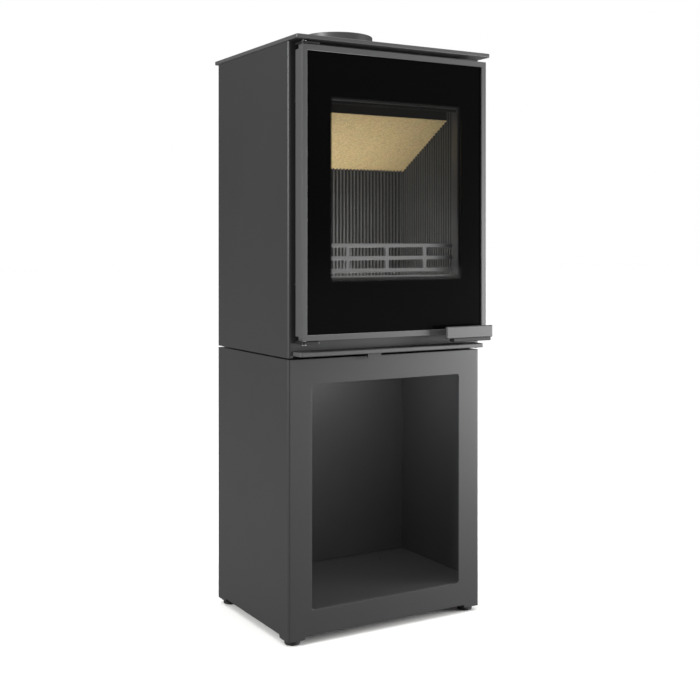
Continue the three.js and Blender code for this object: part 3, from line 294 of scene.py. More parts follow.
def plate(outlines, low, high, radius, creases=(), steps=4):
    """A plate between two levels with rounded edges: the first outline is its edge, the others are its holes.

    The rim profile is carried round each outline, and both faces are filled with triangles between the inset
    outlines. Creases are lines that the faces keep, so that the plate can be folded along them.
    """
    loops = [creased(outlines[0], creases)] + [creased(hole[::-1], creases) for hole in outlines[1:]]
    shells = [carried(rim(low, high, radius, steps), loop, closed=False) for loop in loops]
    edges = [inset(loop, radius) for loop in loops]
    flat = np.vstack(edges)
    starts = np.cumsum([0] + [len(edge) for edge in edges])
    kept = [np.stack([np.arange(a, b), np.roll(np.arange(a, b), -1)], 1) for a, b in zip(starts, starts[1:])]
    for line in creases:
        on_line = np.flatnonzero(np.abs(flat[:, 0] - line) < FINE / 10)
        on_line = on_line[np.argsort(flat[on_line, 1])]
        kept.append(np.stack([on_line[:-1], on_line[1:]], 1))
    found = delaunay_2d_cdt([Vector(point) for point in flat], np.vstack(kept).tolist(), [], 0, FINE / 100)
    corners = np.array([tuple(point) for point in found[0]])
    faces = np.array(found[2])
    middle = corners[faces].mean(1)
    keep = inside(middle, edges[0])
    for hole in edges[1:]:
        keep &= ~inside(middle, hole)
    for level in (low, high):
        shells.append((np.column_stack([corners, np.full(len(corners), level)]), [faces[keep]]))
    return joined(shells)


def joined(shells):
    """Several (points, faces) surfaces as one."""
    starts = np.cumsum([0] + [len(points) for points, _ in shells])
    faces = [face + start for (_, groups), start in zip(shells, starts) for face in groups]
    return np.vstack([points for points, _ in shells]), faces


def turned(profile, x, y, count=48):
    """A profile of (radius, height) points turned round an upright axis.

    It starts and ends on the axis, or closes on itself. A radius may be a function of the angle, such as a
    hexagon's.
    """
    angle = np.linspace(0, 2 * np.pi, count, endpoint=False)[None, :]
    radius = np.vstack([np.broadcast_to(r(angle) if callable(r) else r, angle.shape) for r, _ in profile])
    height = np.array([z for _, z in profile], float)[:, None]
    points = np.stack(np.broadcast_arrays(x + radius * np.cos(angle), y + radius * np.sin(angle), height), -1)
    return points.reshape(-1, 3), [quads(len(profile), count, wrap_rows=True)]


def facing(surface):
    """A surface drawn flat is stood up to face the front: its second coordinate becomes the height."""
    points, faces = surface
    return points[:, [0, 2, 1]], faces


def sideways(surface):
    """A surface drawn flat is stood up to face the side: drawn in depth and height, with its levels across."""
    points, faces = surface
    return points[:, [2, 0, 1]], faces


def repeated(surface, places):
    """Copies of a surface, each moved by one row of places."""
    points, faces = surface
    moved = (points[None] + np.asarray(places, float)[:, None]).reshape(-1, 3)
    steps = np.arange(len(places)) * len(points)
    return moved, [(face[None] + steps[:, None, None]).reshape(-1, face.shape[1]) for face in faces]


def span(node):
    """Lowest and highest corner of a part of the frame."""
    low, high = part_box(node)
    return np.array(low) / MM, np.array(high) / MM


def centre(node):
    """Middle of a part of the frame."""
    low, high = span(node)
    return (low + high) / 2


# ------------------------------------------------------------------------------------------------
# Pieces and finishes
# ------------------------------------------------------------------------------------------------
def extra_piece(name, surface, slot, body):
    """A mesh object that rides on a body and takes a slot's finish.

    Points that meet are merged, so that seams and poles close, and the faces are turned outwards. Smooth
    shading is weighted by face area, so that flat faces stay flat and only the rounded edges shade round.
    """
    points, faces = surface
    mesh = bpy.data.meshes.new(name)
    mesh.from_pydata((points * MM).tolist(), [], [face for group in faces for face in group.tolist()])
    work = bmesh.new()
    work.from_mesh(mesh)
    bmesh.ops.remove_doubles(work, verts=work.verts, dist=FINE * MM / 5)
    bmesh.ops.dissolve_degenerate(work, edges=work.edges, dist=FINE * MM / 10)
    bmesh.ops.recalc_face_normals(work, faces=work.faces)
    work.to_mesh(mesh)
    work.free()
    mesh.polygons.foreach_set("use_smooth", np.ones(len(mesh.polygons), bool))
    mesh.materials.append(finish_of(slot))
    piece = bpy.data.objects.new(name, mesh)
    bpy.context.scene.collection.objects.link(piece)
    piece.modifiers.new("Even faces", "WEIGHTED_NORMAL").weight = 100
    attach(piece, body)
    return piece


def make_piece(name, surface, node):
    """A piece that stands for a part of the frame: it rides with it, takes its finish and hides it."""
    piece = extra_piece(name, surface, SLOT_OF[node], BODY_OF[node])
    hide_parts(node)
    return piece


def mark_groove_shade(piece, axis, tip, painted_groove_shade):
    """Keeps painted shade for a casting: zero at the ribs' tips, rising to one at the grooves' floors."""
    places = np.zeros(len(piece.data.vertices) * 3)
    piece.data.vertices.foreach_get("co", places)
    groove_shade_amount = np.clip((places.reshape(-1, 3)[:, axis] / MM - tip) / (painted_groove_shade - tip), 0, 1)
    piece.data.attributes.new("painted_groove_shade", "FLOAT", "POINT").data.foreach_set("value", groove_shade_amount)


def add_node(tree, kind, properties=None, inputs=None):
    """Adds a shader node, sets its properties, and sets or links its input sockets by name or number."""
    made = tree.nodes.new(kind)
    for name, value in (properties or {}).items():
        setattr(made, name, value)
    for name, value in (inputs or {}).items():
        if isinstance(value, bpy.types.NodeSocket):
            tree.links.new(value, made.inputs[name])
        else:
            made.inputs[name].default_value = value
    return made


def per_mm(size):
    """Texture scale, in cycles per metre, for a pattern whose feature is this many millimetres."""
    return 1 / (size * MM)


def new_material(name):
    """An empty material and its node tree, its object coordinates and its output."""
    material = bpy.data.materials.new(name)
    material.use_nodes = True
    tree = material.node_tree
    tree.nodes.clear()
    place = add_node(tree, "ShaderNodeTexCoord").outputs["Object"]
    output = add_node(tree, "ShaderNodeOutputMaterial")
    return material, tree, place, output


def with_alpha(rgb, factor=1.0):
    """A colour made darker or lighter by a factor, and opaque."""
    return tuple(float(channel) * factor for channel in rgb) + (1.0,)


def stove_paint(name, rgb, grit, depth, roughness):
    """High-temperature silicone stove paint, sprayed and stoved: a satin anthracite with a fine orange-peel
    skin.

    The eye gets a soft broad sheen that grows towards the light, a faint cloudiness from one pass of the gun
    to the next, and a grain that only shows close by. Real orange peel is about 0.5 mm, and it is drawn at
    the given grit.
    """
    material, tree, place, output = new_material(name)
    cloud = add_node(tree, "ShaderNodeTexNoise", {}, {"Vector": place, "Scale": per_mm(90), "Detail": 2.0})
    shade = add_node(tree, "ShaderNodeMix", {"data_type": "RGBA"}, {
        "Factor": cloud.outputs["Fac"], 6: with_alpha(rgb, 0.93), 7: with_alpha(rgb, 1.07)})
    peel = add_node(tree, "ShaderNodeTexNoise", {}, {
        "Vector": place, "Scale": per_mm(grit), "Detail": 3.0, "Roughness": 0.6})
    skin = add_node(tree, "ShaderNodeMapRange", {}, {
        "Value": peel.outputs["Fac"], "To Min": roughness - 0.05, "To Max": roughness + 0.05})
    bump = add_node(tree, "ShaderNodeBump", {}, {
        "Height": peel.outputs["Fac"], "Strength": 0.35, "Distance": depth * MM})
    shader = add_node(tree, "ShaderNodeBsdfPrincipled", {}, {
        "Base Color": shade.outputs[2], "Roughness": skin.outputs["Result"], "Normal": bump.outputs["Normal"],
        "IOR": 1.5})
    tree.links.new(shader.outputs["BSDF"], output.inputs["Surface"])
    return material


def sheet_paint():
    """Stove paint on folded steel sheet: smooth, so its peel is shallow."""
    return stove_paint("stove_paint_on_folded_sheet", colours().sheet_paint, 0.8, 0.02, 0.42)


def cast_paint():
    """The same paint on ground castings and thick plate: a little lighter, with the metal's tooth under it."""
    return stove_paint("stove_paint_on_ground_casting", colours().cast_paint, 0.9, 0.035, 0.4)


def fireside_iron():
    """Grey iron, sand cast and painted, inside the firebox.

    The eye gets a matt dark grey with the sand's pits of about 1 mm. Painted shade darkens the grooves between
    the ribs and the grate's underside to near black as the surface's painted shade value rises to one; the
    ribs' tips keep the plain grey.
    """
    material, tree, place, output = new_material("sand_cast_iron_painted")
    rgb = colours().fireside
    sand = add_node(tree, "ShaderNodeTexNoise", {}, {
        "Vector": place, "Scale": per_mm(1.4), "Detail": 5.0, "Roughness": 0.65})
    pits = add_node(tree, "ShaderNodeTexVoronoi", {}, {"Vector": place, "Scale": per_mm(2.2)})
    height = add_node(tree, "ShaderNodeMath", {"operation": "MULTIPLY_ADD"}, {
        0: pits.outputs["Distance"], 1: 0.5, 2: sand.outputs["Fac"]})
    cloud = add_node(tree, "ShaderNodeTexNoise", {}, {"Vector": place, "Scale": per_mm(35), "Detail": 3.0})
    shade = add_node(tree, "ShaderNodeMix", {"data_type": "RGBA"}, {
        "Factor": cloud.outputs["Fac"], 6: with_alpha(rgb, 0.85), 7: with_alpha(rgb, 1.15)})
    # painted shade: the grooves between the ribs and the grate's underside are darkened to near black
    groove_shade_amount = add_node(tree, "ShaderNodeAttribute", {"attribute_name": "painted_groove_shade"})
    tone = add_node(tree, "ShaderNodeMix", {"data_type": "RGBA"}, {
        "Factor": groove_shade_amount.outputs["Fac"], 6: shade.outputs[2], 7: with_alpha(rgb, 0.08)})
    bump = add_node(tree, "ShaderNodeBump", {}, {
        "Height": height.outputs["Value"], "Strength": 0.5, "Distance": 0.1 * MM})
    shader = add_node(tree, "ShaderNodeBsdfPrincipled", {}, {
        "Base Color": tone.outputs[2], "Roughness": 0.55, "Normal": bump.outputs["Normal"], "IOR": 1.5})
    tree.links.new(shader.outputs["BSDF"], output.inputs["Surface"])
    return material


def blackened_steel():
    """Hot-rolled steel with its mill scale, oiled black: the folded and welded plates of the firebox shell.

    The eye gets a near-black with blue-grey patches of scale a hand wide and faint rolling streaks.
    """
    material, tree, place, output = new_material("hot_rolled_steel_blackened")
    rgb = colours().inner_steel
    scale = add_node(tree, "ShaderNodeTexNoise", {}, {"Vector": place, "Scale": per_mm(45), "Detail": 6.0})
    stretch = add_node(tree, "ShaderNodeMapping", {}, {"Vector": place, "Scale": (1.0, 1.0, 0.06)})
    streak = add_node(tree, "ShaderNodeTexNoise", {}, {
        "Vector": stretch.outputs["Vector"], "Scale": per_mm(2.5), "Detail": 3.0})
    shade = add_node(tree, "ShaderNodeMix", {"data_type": "RGBA"}, {
        "Factor": scale.outputs["Fac"], 6: with_alpha(rgb, 0.7), 7: with_alpha(rgb, 1.4)})
    sheen = add_node(tree, "ShaderNodeMapRange", {}, {
        "Value": streak.outputs["Fac"], "To Min": 0.45, "To Max": 0.62})
    shader = add_node(tree, "ShaderNodeBsdfPrincipled", {}, {
        "Base Color": shade.outputs[2], "Roughness": sheen.outputs["Result"], "Metallic": 0.3})
    tree.links.new(shader.outputs["BSDF"], output.inputs["Surface"])
    return material


def moulded_foot():
    """Glass-filled nylon, injection moulded: the pads of the levelling feet.

    The eye gets a soft black with a fine spark-eroded texture of about 0.3 mm, drawn at 0.6 mm.
    """
    material, tree, place, output = new_material("moulded_nylon_black")
    spark = add_node(tree, "ShaderNodeTexNoise", {}, {"Vector": place, "Scale": per_mm(0.6), "Detail": 2.0})
    bump = add_node(tree, "ShaderNodeBump", {}, {
        "Height": spark.outputs["Fac"], "Strength": 0.4, "Distance": 0.05 * MM})
    shade = add_node(tree, "ShaderNodeMix", {"data_type": "RGBA"}, {
        "Factor": spark.outputs["Fac"],
        6: with_alpha(colours().foot, 0.8), 7: with_alpha(colours().foot, 1.2)})
    shader = add_node(tree, "ShaderNodeBsdfPrincipled", {}, {
        "Base Color": shade.outputs[2], "Roughness": 0.5, "Normal": bump.outputs["Normal"], "IOR": 1.53})
    tree.links.new(shader.outputs["BSDF"], output.inputs["Surface"])
    return material


def zinc_plate():
    """Bright zinc-plated steel with a clear passivate: bolts, pins, the keeper, the feet's rails and rear
    screws.

    The eye gets a cool silver with crystal spangle a few millimetres across and a slightly blotchy gloss.
    """
    material, tree, place, output = new_material("zinc_plated_steel")
    spangle = add_node(tree, "ShaderNodeTexVoronoi", {}, {"Vector": place, "Scale": per_mm(3)})
    shade = add_node(tree, "ShaderNodeMix", {"data_type": "RGBA"}, {
        "Factor": spangle.outputs["Distance"],
        6: with_alpha(colours().zinc, 0.9), 7: with_alpha(colours().zinc, 1.05)})
    gloss = add_node(tree, "ShaderNodeMapRange", {}, {
        "Value": spangle.outputs["Distance"], "To Min": 0.3, "To Max": 0.42})
    shader = add_node(tree, "ShaderNodeBsdfPrincipled", {}, {
        "Base Color": shade.outputs[2], "Roughness": gloss.outputs["Result"], "Metallic": 1.0})
    tree.links.new(shader.outputs["BSDF"], output.inputs["Surface"])
    return material


def brushed_handle():
    """Stainless steel, linished along its length and bead-finished: the handle's bar.

    The eye gets a pale satin grey with hair-fine lines along the bar. Real lines are about 0.1 mm, drawn at
    0.5 mm.
    """
    material, tree, place, output = new_material("linished_stainless_steel")
    stretch = add_node(tree, "ShaderNodeMapping", {}, {"Vector": place, "Scale": (0.02, 1.0, 1.0)})
    lines = add_node(tree, "ShaderNodeTexNoise", {}, {
        "Vector": stretch.outputs["Vector"], "Scale": per_mm(0.5), "Detail": 3.0})
    shade = add_node(tree, "ShaderNodeMix", {"data_type": "RGBA"}, {
        "Factor": lines.outputs["Fac"],
        6: with_alpha(colours().handle, 0.9), 7: with_alpha(colours().handle, 1.1)})
    gloss = add_node(tree, "ShaderNodeMapRange", {}, {
        "Value": lines.outputs["Fac"], "To Min": 0.45, "To Max": 0.6})
    bump = add_node(tree, "ShaderNodeBump", {}, {
        "Height": lines.outputs["Fac"], "Strength": 0.2, "Distance": 0.02 * MM})
    shader = add_node(tree, "ShaderNodeBsdfPrincipled", {}, {
        "Base Color": shade.outputs[2], "Roughness": gloss.outputs["Result"], "Metallic": 1.0,
        "Normal": bump.outputs["Normal"]})
    tree.links.new(shader.outputs["BSDF"], output.inputs["Surface"])
    return material


def printed_glass():
    """Glass ceramic, rolled and fire-polished, with a black enamel print fired onto its border.

    The eye gets a black mirror-smooth border and a clear window, with the print breaking up into dots between
    them. Real dots are about 1 mm and are drawn at 1.6 mm. Inside the window the distance to the nearest side
    of the print is the smaller of the distances across and upwards, and the dots shrink with it. The print
    lies on the front face only.
    """
    material, tree, place, output = new_material("glass_ceramic_with_enamel_print")
    low, high = span("door_glass")
    middle_low, middle_high = low[2] + size("window_low"), high[2] - size("window_high")
    axes = add_node(tree, "ShaderNodeSeparateXYZ", {}, {"Vector": place})
    aside = add_node(tree, "ShaderNodeMath", {"operation": "SUBTRACT"}, {
        0: axes.outputs["X"], 1: size("window_shift") * MM})
    across = add_node(tree, "ShaderNodeMath", {"operation": "ABSOLUTE"}, {0: aside.outputs["Value"]})
    side = add_node(tree, "ShaderNodeMath", {"operation": "SUBTRACT"}, {
        0: size("window_side") * MM, 1: across.outputs["Value"]})
    rise = add_node(tree, "ShaderNodeMath", {"operation": "SUBTRACT"}, {
        0: axes.outputs["Z"], 1: (middle_low + middle_high) / 2 * MM})
    above = add_node(tree, "ShaderNodeMath", {"operation": "ABSOLUTE"}, {0: rise.outputs["Value"]})
    end = add_node(tree, "ShaderNodeMath", {"operation": "SUBTRACT"}, {
        0: (middle_high - middle_low) / 2 * MM, 1: above.outputs["Value"]})
    nearest = add_node(tree, "ShaderNodeMath", {"operation": "SMOOTH_MIN"}, {
        0: side.outputs["Value"], 1: end.outputs["Value"], 2: 8 * MM})
    cover = add_node(tree, "ShaderNodeMapRange", {}, {
        "Value": nearest.outputs["Value"], "From Min": -size("print_fade") / 2 * MM,
        "From Max": size("print_fade") / 2 * MM, "To Min": 1.0, "To Max": 0.0})
    dots = add_node(tree, "ShaderNodeTexVoronoi", {}, {
        "Vector": place, "Scale": per_mm(1.6), "Randomness": 0.0})
    edge = add_node(tree, "ShaderNodeMath", {"operation": "MULTIPLY_ADD"}, {
        0: dots.outputs["Distance"], 1: -1.2, 2: cover.outputs["Result"]})
    printed = add_node(tree, "ShaderNodeMapRange", {}, {
        "Value": edge.outputs["Value"], "From Min": -0.06, "From Max": 0.06})
    outer = add_node(tree, "ShaderNodeMath", {"operation": "LESS_THAN"}, {
        0: axes.outputs["Y"], 1: (low[1] + high[1]) / 2 * MM})
    mask = add_node(tree, "ShaderNodeMath", {"operation": "MULTIPLY"}, {
        0: printed.outputs["Result"], 1: outer.outputs["Value"]})
    enamel = add_node(tree, "ShaderNodeBsdfPrincipled", {}, {
        "Base Color": with_alpha(colours().enamel), "Roughness": 0.12, "IOR": 1.53,
        "Specular IOR Level": 0.12})
    clear = add_node(tree, "ShaderNodeBsdfTransparent", {}, {"Color": (0.93, 0.93, 0.92, 1.0)})
    gloss = add_node(tree, "ShaderNodeBsdfGlossy", {}, {"Color": (1.0, 1.0, 1.0, 1.0), "Roughness": 0.03})
    mirror = add_node(tree, "ShaderNodeFresnel", {}, {"IOR": 1.53})
    pane = add_node(tree, "ShaderNodeMixShader", {}, {
        0: mirror.outputs["Fac"], 1: clear.outputs["BSDF"], 2: gloss.outputs["BSDF"]})
    whole = add_node(tree, "ShaderNodeMixShader", {}, {
        0: mask.outputs["Value"], 1: pane.outputs["Shader"], 2: enamel.outputs["BSDF"]})
    tree.links.new(whole.outputs["Shader"], output.inputs["Surface"])
    return material


def fibre_rope():
    """E-glass rope and tape, braided: the door's seal and the bed of the pane.

    The eye gets an off-white matt yarn with the shine of single fibres across it, yarns about 1 mm wide.
    """
    material, tree, place, output = new_material("braided_glass_fibre")
    yarn = add_node(tree, "ShaderNodeTexWave", {"bands_direction": "DIAGONAL"}, {
        "Vector": place, "Scale": per_mm(2) / 2, "Distortion": 2.0, "Detail": 2.0})
    shade = add_node(tree, "ShaderNodeMix", {"data_type": "RGBA"}, {
        "Factor": yarn.outputs["Fac"],
        6: with_alpha(colours().rope, 0.6), 7: with_alpha(colours().rope, 1.05)})
    bump = add_node(tree, "ShaderNodeBump", {}, {
        "Height": yarn.outputs["Fac"], "Strength": 0.5, "Distance": 0.2 * MM})
    shader = add_node(tree, "ShaderNodeBsdfPrincipled", {}, {
        "Base Color": shade.outputs[2], "Roughness": 0.85, "Normal": bump.outputs["Normal"],
        "Sheen Weight": 0.3})
    tree.links.new(shader.outputs["BSDF"], output.inputs["Surface"])
    return material


def vermiculite_board():
    """Exfoliated vermiculite, pressed into board: the baffle.

    The eye gets a warm straw colour of packed flakes 2 to 4 mm across, some golden and some grey, with open
    pits between them and a slightly oily glint on the mica faces. A brown-black painted shade covers the cut
    front edge, which lies in shade.
    """
    material, tree, place, output = new_material("pressed_vermiculite")
    rgb = colours().vermiculite
    flakes = add_node(tree, "ShaderNodeTexVoronoi", {}, {"Vector": place, "Scale": per_mm(3)})
    tone = add_node(tree, "ShaderNodeSeparateColor", {}, {"Color": flakes.outputs["Color"]})
    patch = add_node(tree, "ShaderNodeTexNoise", {}, {"Vector": place, "Scale": per_mm(22), "Detail": 4.0})
    mixed = add_node(tree, "ShaderNodeMix", {"data_type": "RGBA"}, {
        "Factor": tone.outputs["Red"], 6: with_alpha(rgb, 0.82), 7: with_alpha(rgb, 1.08)})
    shade = add_node(tree, "ShaderNodeMix", {"data_type": "RGBA", "blend_type": "MULTIPLY"}, {
        "Factor": 0.15, 6: mixed.outputs[2], 7: patch.outputs["Color"]})
    pits = add_node(tree, "ShaderNodeTexNoise", {}, {"Vector": place, "Scale": per_mm(2), "Detail": 4.0})
    height = add_node(tree, "ShaderNodeMath", {"operation": "MULTIPLY_ADD"}, {
        0: flakes.outputs["Distance"], 1: -0.6, 2: pits.outputs["Fac"]})
    bump = add_node(tree, "ShaderNodeBump", {}, {
        "Height": height.outputs["Value"], "Strength": 0.5, "Distance": 0.4 * MM})
    # painted shade: a brown-black band over the board's cut front edge, found by the distance along the slope
    axes = add_node(tree, "ShaderNodeSeparateXYZ", {}, {"Vector": place})
    back = add_node(tree, "ShaderNodeMath", {"operation": "MULTIPLY"}, {
        0: axes.outputs["Y"], 1: float(np.cos(BAFFLE_SLOPE))})
    along = add_node(tree, "ShaderNodeMath", {"operation": "MULTIPLY_ADD"}, {
        0: axes.outputs["Z"], 1: float(-np.sin(BAFFLE_SLOPE)), 2: back.outputs["Value"]})
    start = (BAFFLE_EDGE[0] * np.cos(BAFFLE_SLOPE) - BAFFLE_EDGE[1] * np.sin(BAFFLE_SLOPE)) * MM
    front_edge_shade_mask = add_node(tree, "ShaderNodeMapRange", {}, {
        "Value": along.outputs["Value"],
        "From Min": float(start) + 0.8 * MM, "From Max": float(start) + 1.6 * MM})
    edge_shade = add_node(tree, "ShaderNodeMix", {"data_type": "RGBA"}, {
        "Factor": front_edge_shade_mask.outputs["Result"], 6: with_alpha(colours().front_edge_shade), 7: shade.outputs[2]})
    shader = add_node(tree, "ShaderNodeBsdfPrincipled", {}, {
        "Base Color": edge_shade.outputs[2], "Roughness": 0.8, "Normal": bump.outputs["Normal"], "IOR": 1.55})
    tree.links.new(shader.outputs["BSDF"], output.inputs["Surface"])
    return material


def studio_floor():
    """Painted concrete, rolled matt: the pale floor that the stove stands on.

    It looks white, and throws only a little light back at the stove, as if the floor ended just outside the
    view.
    """
    material, tree, place, output = new_material("matt_floor_paint")
    roller = add_node(tree, "ShaderNodeTexNoise", {}, {"Vector": place, "Scale": per_mm(400), "Detail": 3.0})
    shade = add_node(tree, "ShaderNodeMix", {"data_type": "RGBA"}, {
        "Factor": roller.outputs["Fac"],
        6: with_alpha(colours().floor, 0.99), 7: with_alpha(colours().floor)})
    shader = add_node(tree, "ShaderNodeBsdfPrincipled", {}, {
        "Base Color": shade.outputs[2], "Roughness": 0.9, "Specular IOR Level": 0.2})
    dim = add_node(tree, "ShaderNodeBsdfDiffuse", {}, {"Color": with_alpha(colours().floor, 0.25)})
    seen = add_node(tree, "ShaderNodeLightPath").outputs["Is Camera Ray"]
    both = add_node(tree, "ShaderNodeMixShader", {}, {
        0: seen, 1: dim.outputs["BSDF"], 2: shader.outputs["BSDF"]})
    tree.links.new(both.outputs["Shader"], output.inputs["Surface"])
    return material


FINISHES = {
    "casing_paint": sheet_paint,
    "frame_paint": cast_paint,
    "lining_iron": fireside_iron,
    "inner_steel": blackened_steel,
    "foot_paint": moulded_foot,
    "zinc_steel": zinc_plate,
    "handle_steel": brushed_handle,
    "ceramic_glass": printed_glass,
    "rope_seal": fibre_rope,
    "vermiculite": vermiculite_board,
}
made_finishes = {}


def finish_of(slot):
    """The finish of a material slot, made once."""
    if slot not in made_finishes:
        made_finishes[slot] = FINISHES[slot]()
    return made_finishes[slot]


# ------------------------------------------------------------------------------------------------
# Folded sheet
# ------------------------------------------------------------------------------------------------
def folded_casing(node, half_run, holes):
    """A casing folded from one blank: front and both sides.

    The blank is a plate drawn in length s along the outside and height z. Folding keeps the first `flat` of
    the length, turns the next quarter circle round a centre one bend radius inside the corner, and runs the
    rest back: a point at depth d keeps its height and lies bend minus d from that centre.
    """
    low, high = span(node)
    bend = size("bend")
    flat = high[0] - bend
    end = flat + bend * np.pi / 2 + high[1] - low[1] - bend
    right, cut = half_run(low, high, end)
    blank = np.vstack([right[::-1] * (-1, 1), right])
    creases = flat + np.linspace(0, bend * np.pi / 2, 9)
    creases = np.concatenate([-creases, creases])
    outline = softened(blank, np.concatenate([cut[::-1], cut]), 3)
    surface = plate([outline] + holes(low, high), 0, size("sheet"), size("sheet_edge"), creases)
    (s, z, depth), faces = surface[0].T, surface[1]
    turn = np.clip((np.abs(s) - flat) / bend, 0, np.pi / 2)
    run = np.maximum(np.abs(s) - flat - bend * np.pi / 2, 0)
    x = np.sign(s) * (np.minimum(np.abs(s), flat) + (bend - depth) * np.sin(turn))
    y = low[1] + bend - (bend - depth) * np.cos(turn) + run
    return make_piece(node + "_sheet", (np.stack([x, y, z], 1), faces), node)


def make_casings():
    """The log store's casing with its opening and relieved lower edge, and the stove's with throat and lip."""
    lip_top = span("bottom_plate")[1][2]

    def store_run(low, high, end):
        land, bottom, raised = size("corner_land"), low[2], low[2] + size("edge_relief")
        bent = high[0] - size("bend") * (2 - np.pi / 2)
        points = [(high[0] - land, raised), (high[0] - land, bottom), (bent + land, bottom),
                  (bent + land, raised), (end - land, raised), (end - land, bottom), (end, bottom),
                  (end, high[2])]
        return np.array(points), np.array([LAND_CORNER] * 6 + [SHEET_CORNER] * 2)

    def store_holes(low, high):
        half = high[0] - size("store_stile")
        bottom, top = low[2] + size("store_sill"), high[2] - size("store_header")
        return [rectangle(-half, half, bottom, top, size("bend"))]

    def stove_run(low, high, end):
        points = [(LIP_HALF + GAP, lip_top + GAP), (LIP_HALF + GAP, low[2]), (end, low[2]), (end, high[2])]
        return np.array(points), np.full(4, SHEET_CORNER)

    def stove_holes(low, high):
        half, bottom, top = THROAT
        return [rectangle(-half - GAP, half + GAP, bottom - GAP, top + GAP, THROAT_CORNER)]

    folded_casing("base_casing", store_run, store_holes)
    folded_casing("stove_casing", stove_run, stove_holes)


# ------------------------------------------------------------------------------------------------
# Flat panels and thick plates
# ------------------------------------------------------------------------------------------------
def make_panels():
    """The log store's floor, back wall and rear cover, and the stove's rear panel with slots and air hole."""
    edge = size("sheet_edge")

    low, high = span("base_floor_panel")
    screw_holes = [circle(sx * FLOOR_SCREW[0], FLOOR_SCREW[1], 2.5, 24) for sx in (-1, 1)]
    floor = plate([rectangle(low[0], high[0], low[1], high[1], 2)] + screw_holes, low[2], high[2], edge)
    make_piece("store_floor", floor, "base_floor_panel")

    low, high = span("store_back_wall")
    wall = plate([rectangle(low[0], high[0], low[2], high[2], 2)], low[1], high[1], edge)
    make_piece("store_wall", facing(wall), "store_back_wall")

    low, high = span("base_rear_cover")
    cover = plate([rectangle(low[0], high[0], low[2], high[2], 2)], low[1], high[1], edge)
    make_piece("store_rear_cover", facing(cover), "base_rear_cover")

    low, high = span("back_panel")
    slots = [rectangle(x - SLOT[0], x + SLOT[0], SLOT[1], SLOT[2], SLOT[0] - 0.1)
             for x in np.arange(-SLOT_COUNT, SLOT_COUNT + 1) * SLOT_PITCH]
    air_hole = circle(0, SPIGOT_LEVEL, SPIGOT_RADIUS + GAP, 64)
    panel = plate([rectangle(low[0], high[0], low[2], high[2], 2), air_hole] + slots, low[1], high[1], edge)
    make_piece("rear_panel", facing(panel), "back_panel")


def bolt_places():
    """Middle of each bolt between the log store and the stove."""
    return [centre("stove_bolt_" + place)[:2] for place in CORNERS]


def make_plates():
    """The two thick plates: the one that the door opens over, with its lip and lever slot, and the top."""
    low, high = span("bottom_plate")
    inner, shoulder = high[0], span("base_floor_panel")[0][1]
    corners = [(-LIP_HALF, low[1]), (LIP_HALF, low[1]), (LIP_HALF, shoulder), (inner, shoulder),
               (inner, high[1]), (-inner, high[1]), (-inner, shoulder), (-LIP_HALF, shoulder)]
    outline = softened(corners, [LIP_CORNER, LIP_CORNER, 0, 0, 0, 0, 0, 0], 12)
    lever_slot = rectangle(-LEVER_SLOT[0], LEVER_SLOT[0], LEVER_SLOT[1], LEVER_SLOT[2], 2.9)
    bolt_holes = [circle(x, y, BOLT_RADIUS + GAP, 24) for x, y in bolt_places()]
    lip = plate([outline, lever_slot] + bolt_holes, low[2], high[2], size("plate_edge"))
    make_piece("lip_plate", lip, "bottom_plate")

    low, high = span("top_plate")
    flue = centre("flue_collar")
    outline = rectangle(low[0], high[0], low[1], high[1], [TOP_CORNER, TOP_CORNER, 1, 1], 8)
    hole = circle(flue[0], flue[1], FLUE_RADIUS + GAP, 96)
    make_piece("top", plate([outline, hole], low[2], high[2], size("plate_edge")), "top_plate")


# ------------------------------------------------------------------------------------------------
# Turned pieces
# ------------------------------------------------------------------------------------------------
def make_flue_collar():
    """The flue collar: a rolled tube with a rounded rim on a flange, as a closed section turned on its axis."""
    low, high = span("flue_collar")
    x, y, _ = centre("flue_collar")
    radius, wall = FLUE_RADIUS, 3.0
    section = softened([
        (radius - wall, low[2]), (high[0] - x, low[2]), (high[0] - x, low[2] + wall), (radius, low[2] + wall),
        (radius, high[2]), (radius - wall, high[2])], [0.3, 0.5, 0.5, 2.5, 1.2, 1.2])
    make_piece("flue_spigot", turned(section, x, y, 128), "flue_collar")


def make_air_spigot():
    """The air inlet at the back: a tube with a flange and a slightly rolled end, turned round a level axis."""
    low, high = span("air_inlet_spigot")
    wall = 2.0
    section = softened([
        (SPIGOT_RADIUS - wall, low[1]), (SPIGOT_RADIUS, low[1]), (SPIGOT_RADIUS, SPIGOT_FLANGE),
        (high[0], SPIGOT_FLANGE), (high[0], SPIGOT_FLANGE + wall), (SPIGOT_RADIUS, SPIGOT_FLANGE + wall),
        (SPIGOT_RADIUS, high[1]), (SPIGOT_RADIUS - wall, high[1])], [0.4, 0.4, 0, 0.5, 0.5, 1.5, 0.9, 0.9])
    make_piece("air_spigot", facing(turned(section, 0, SPIGOT_LEVEL, 96)), "air_inlet_spigot")


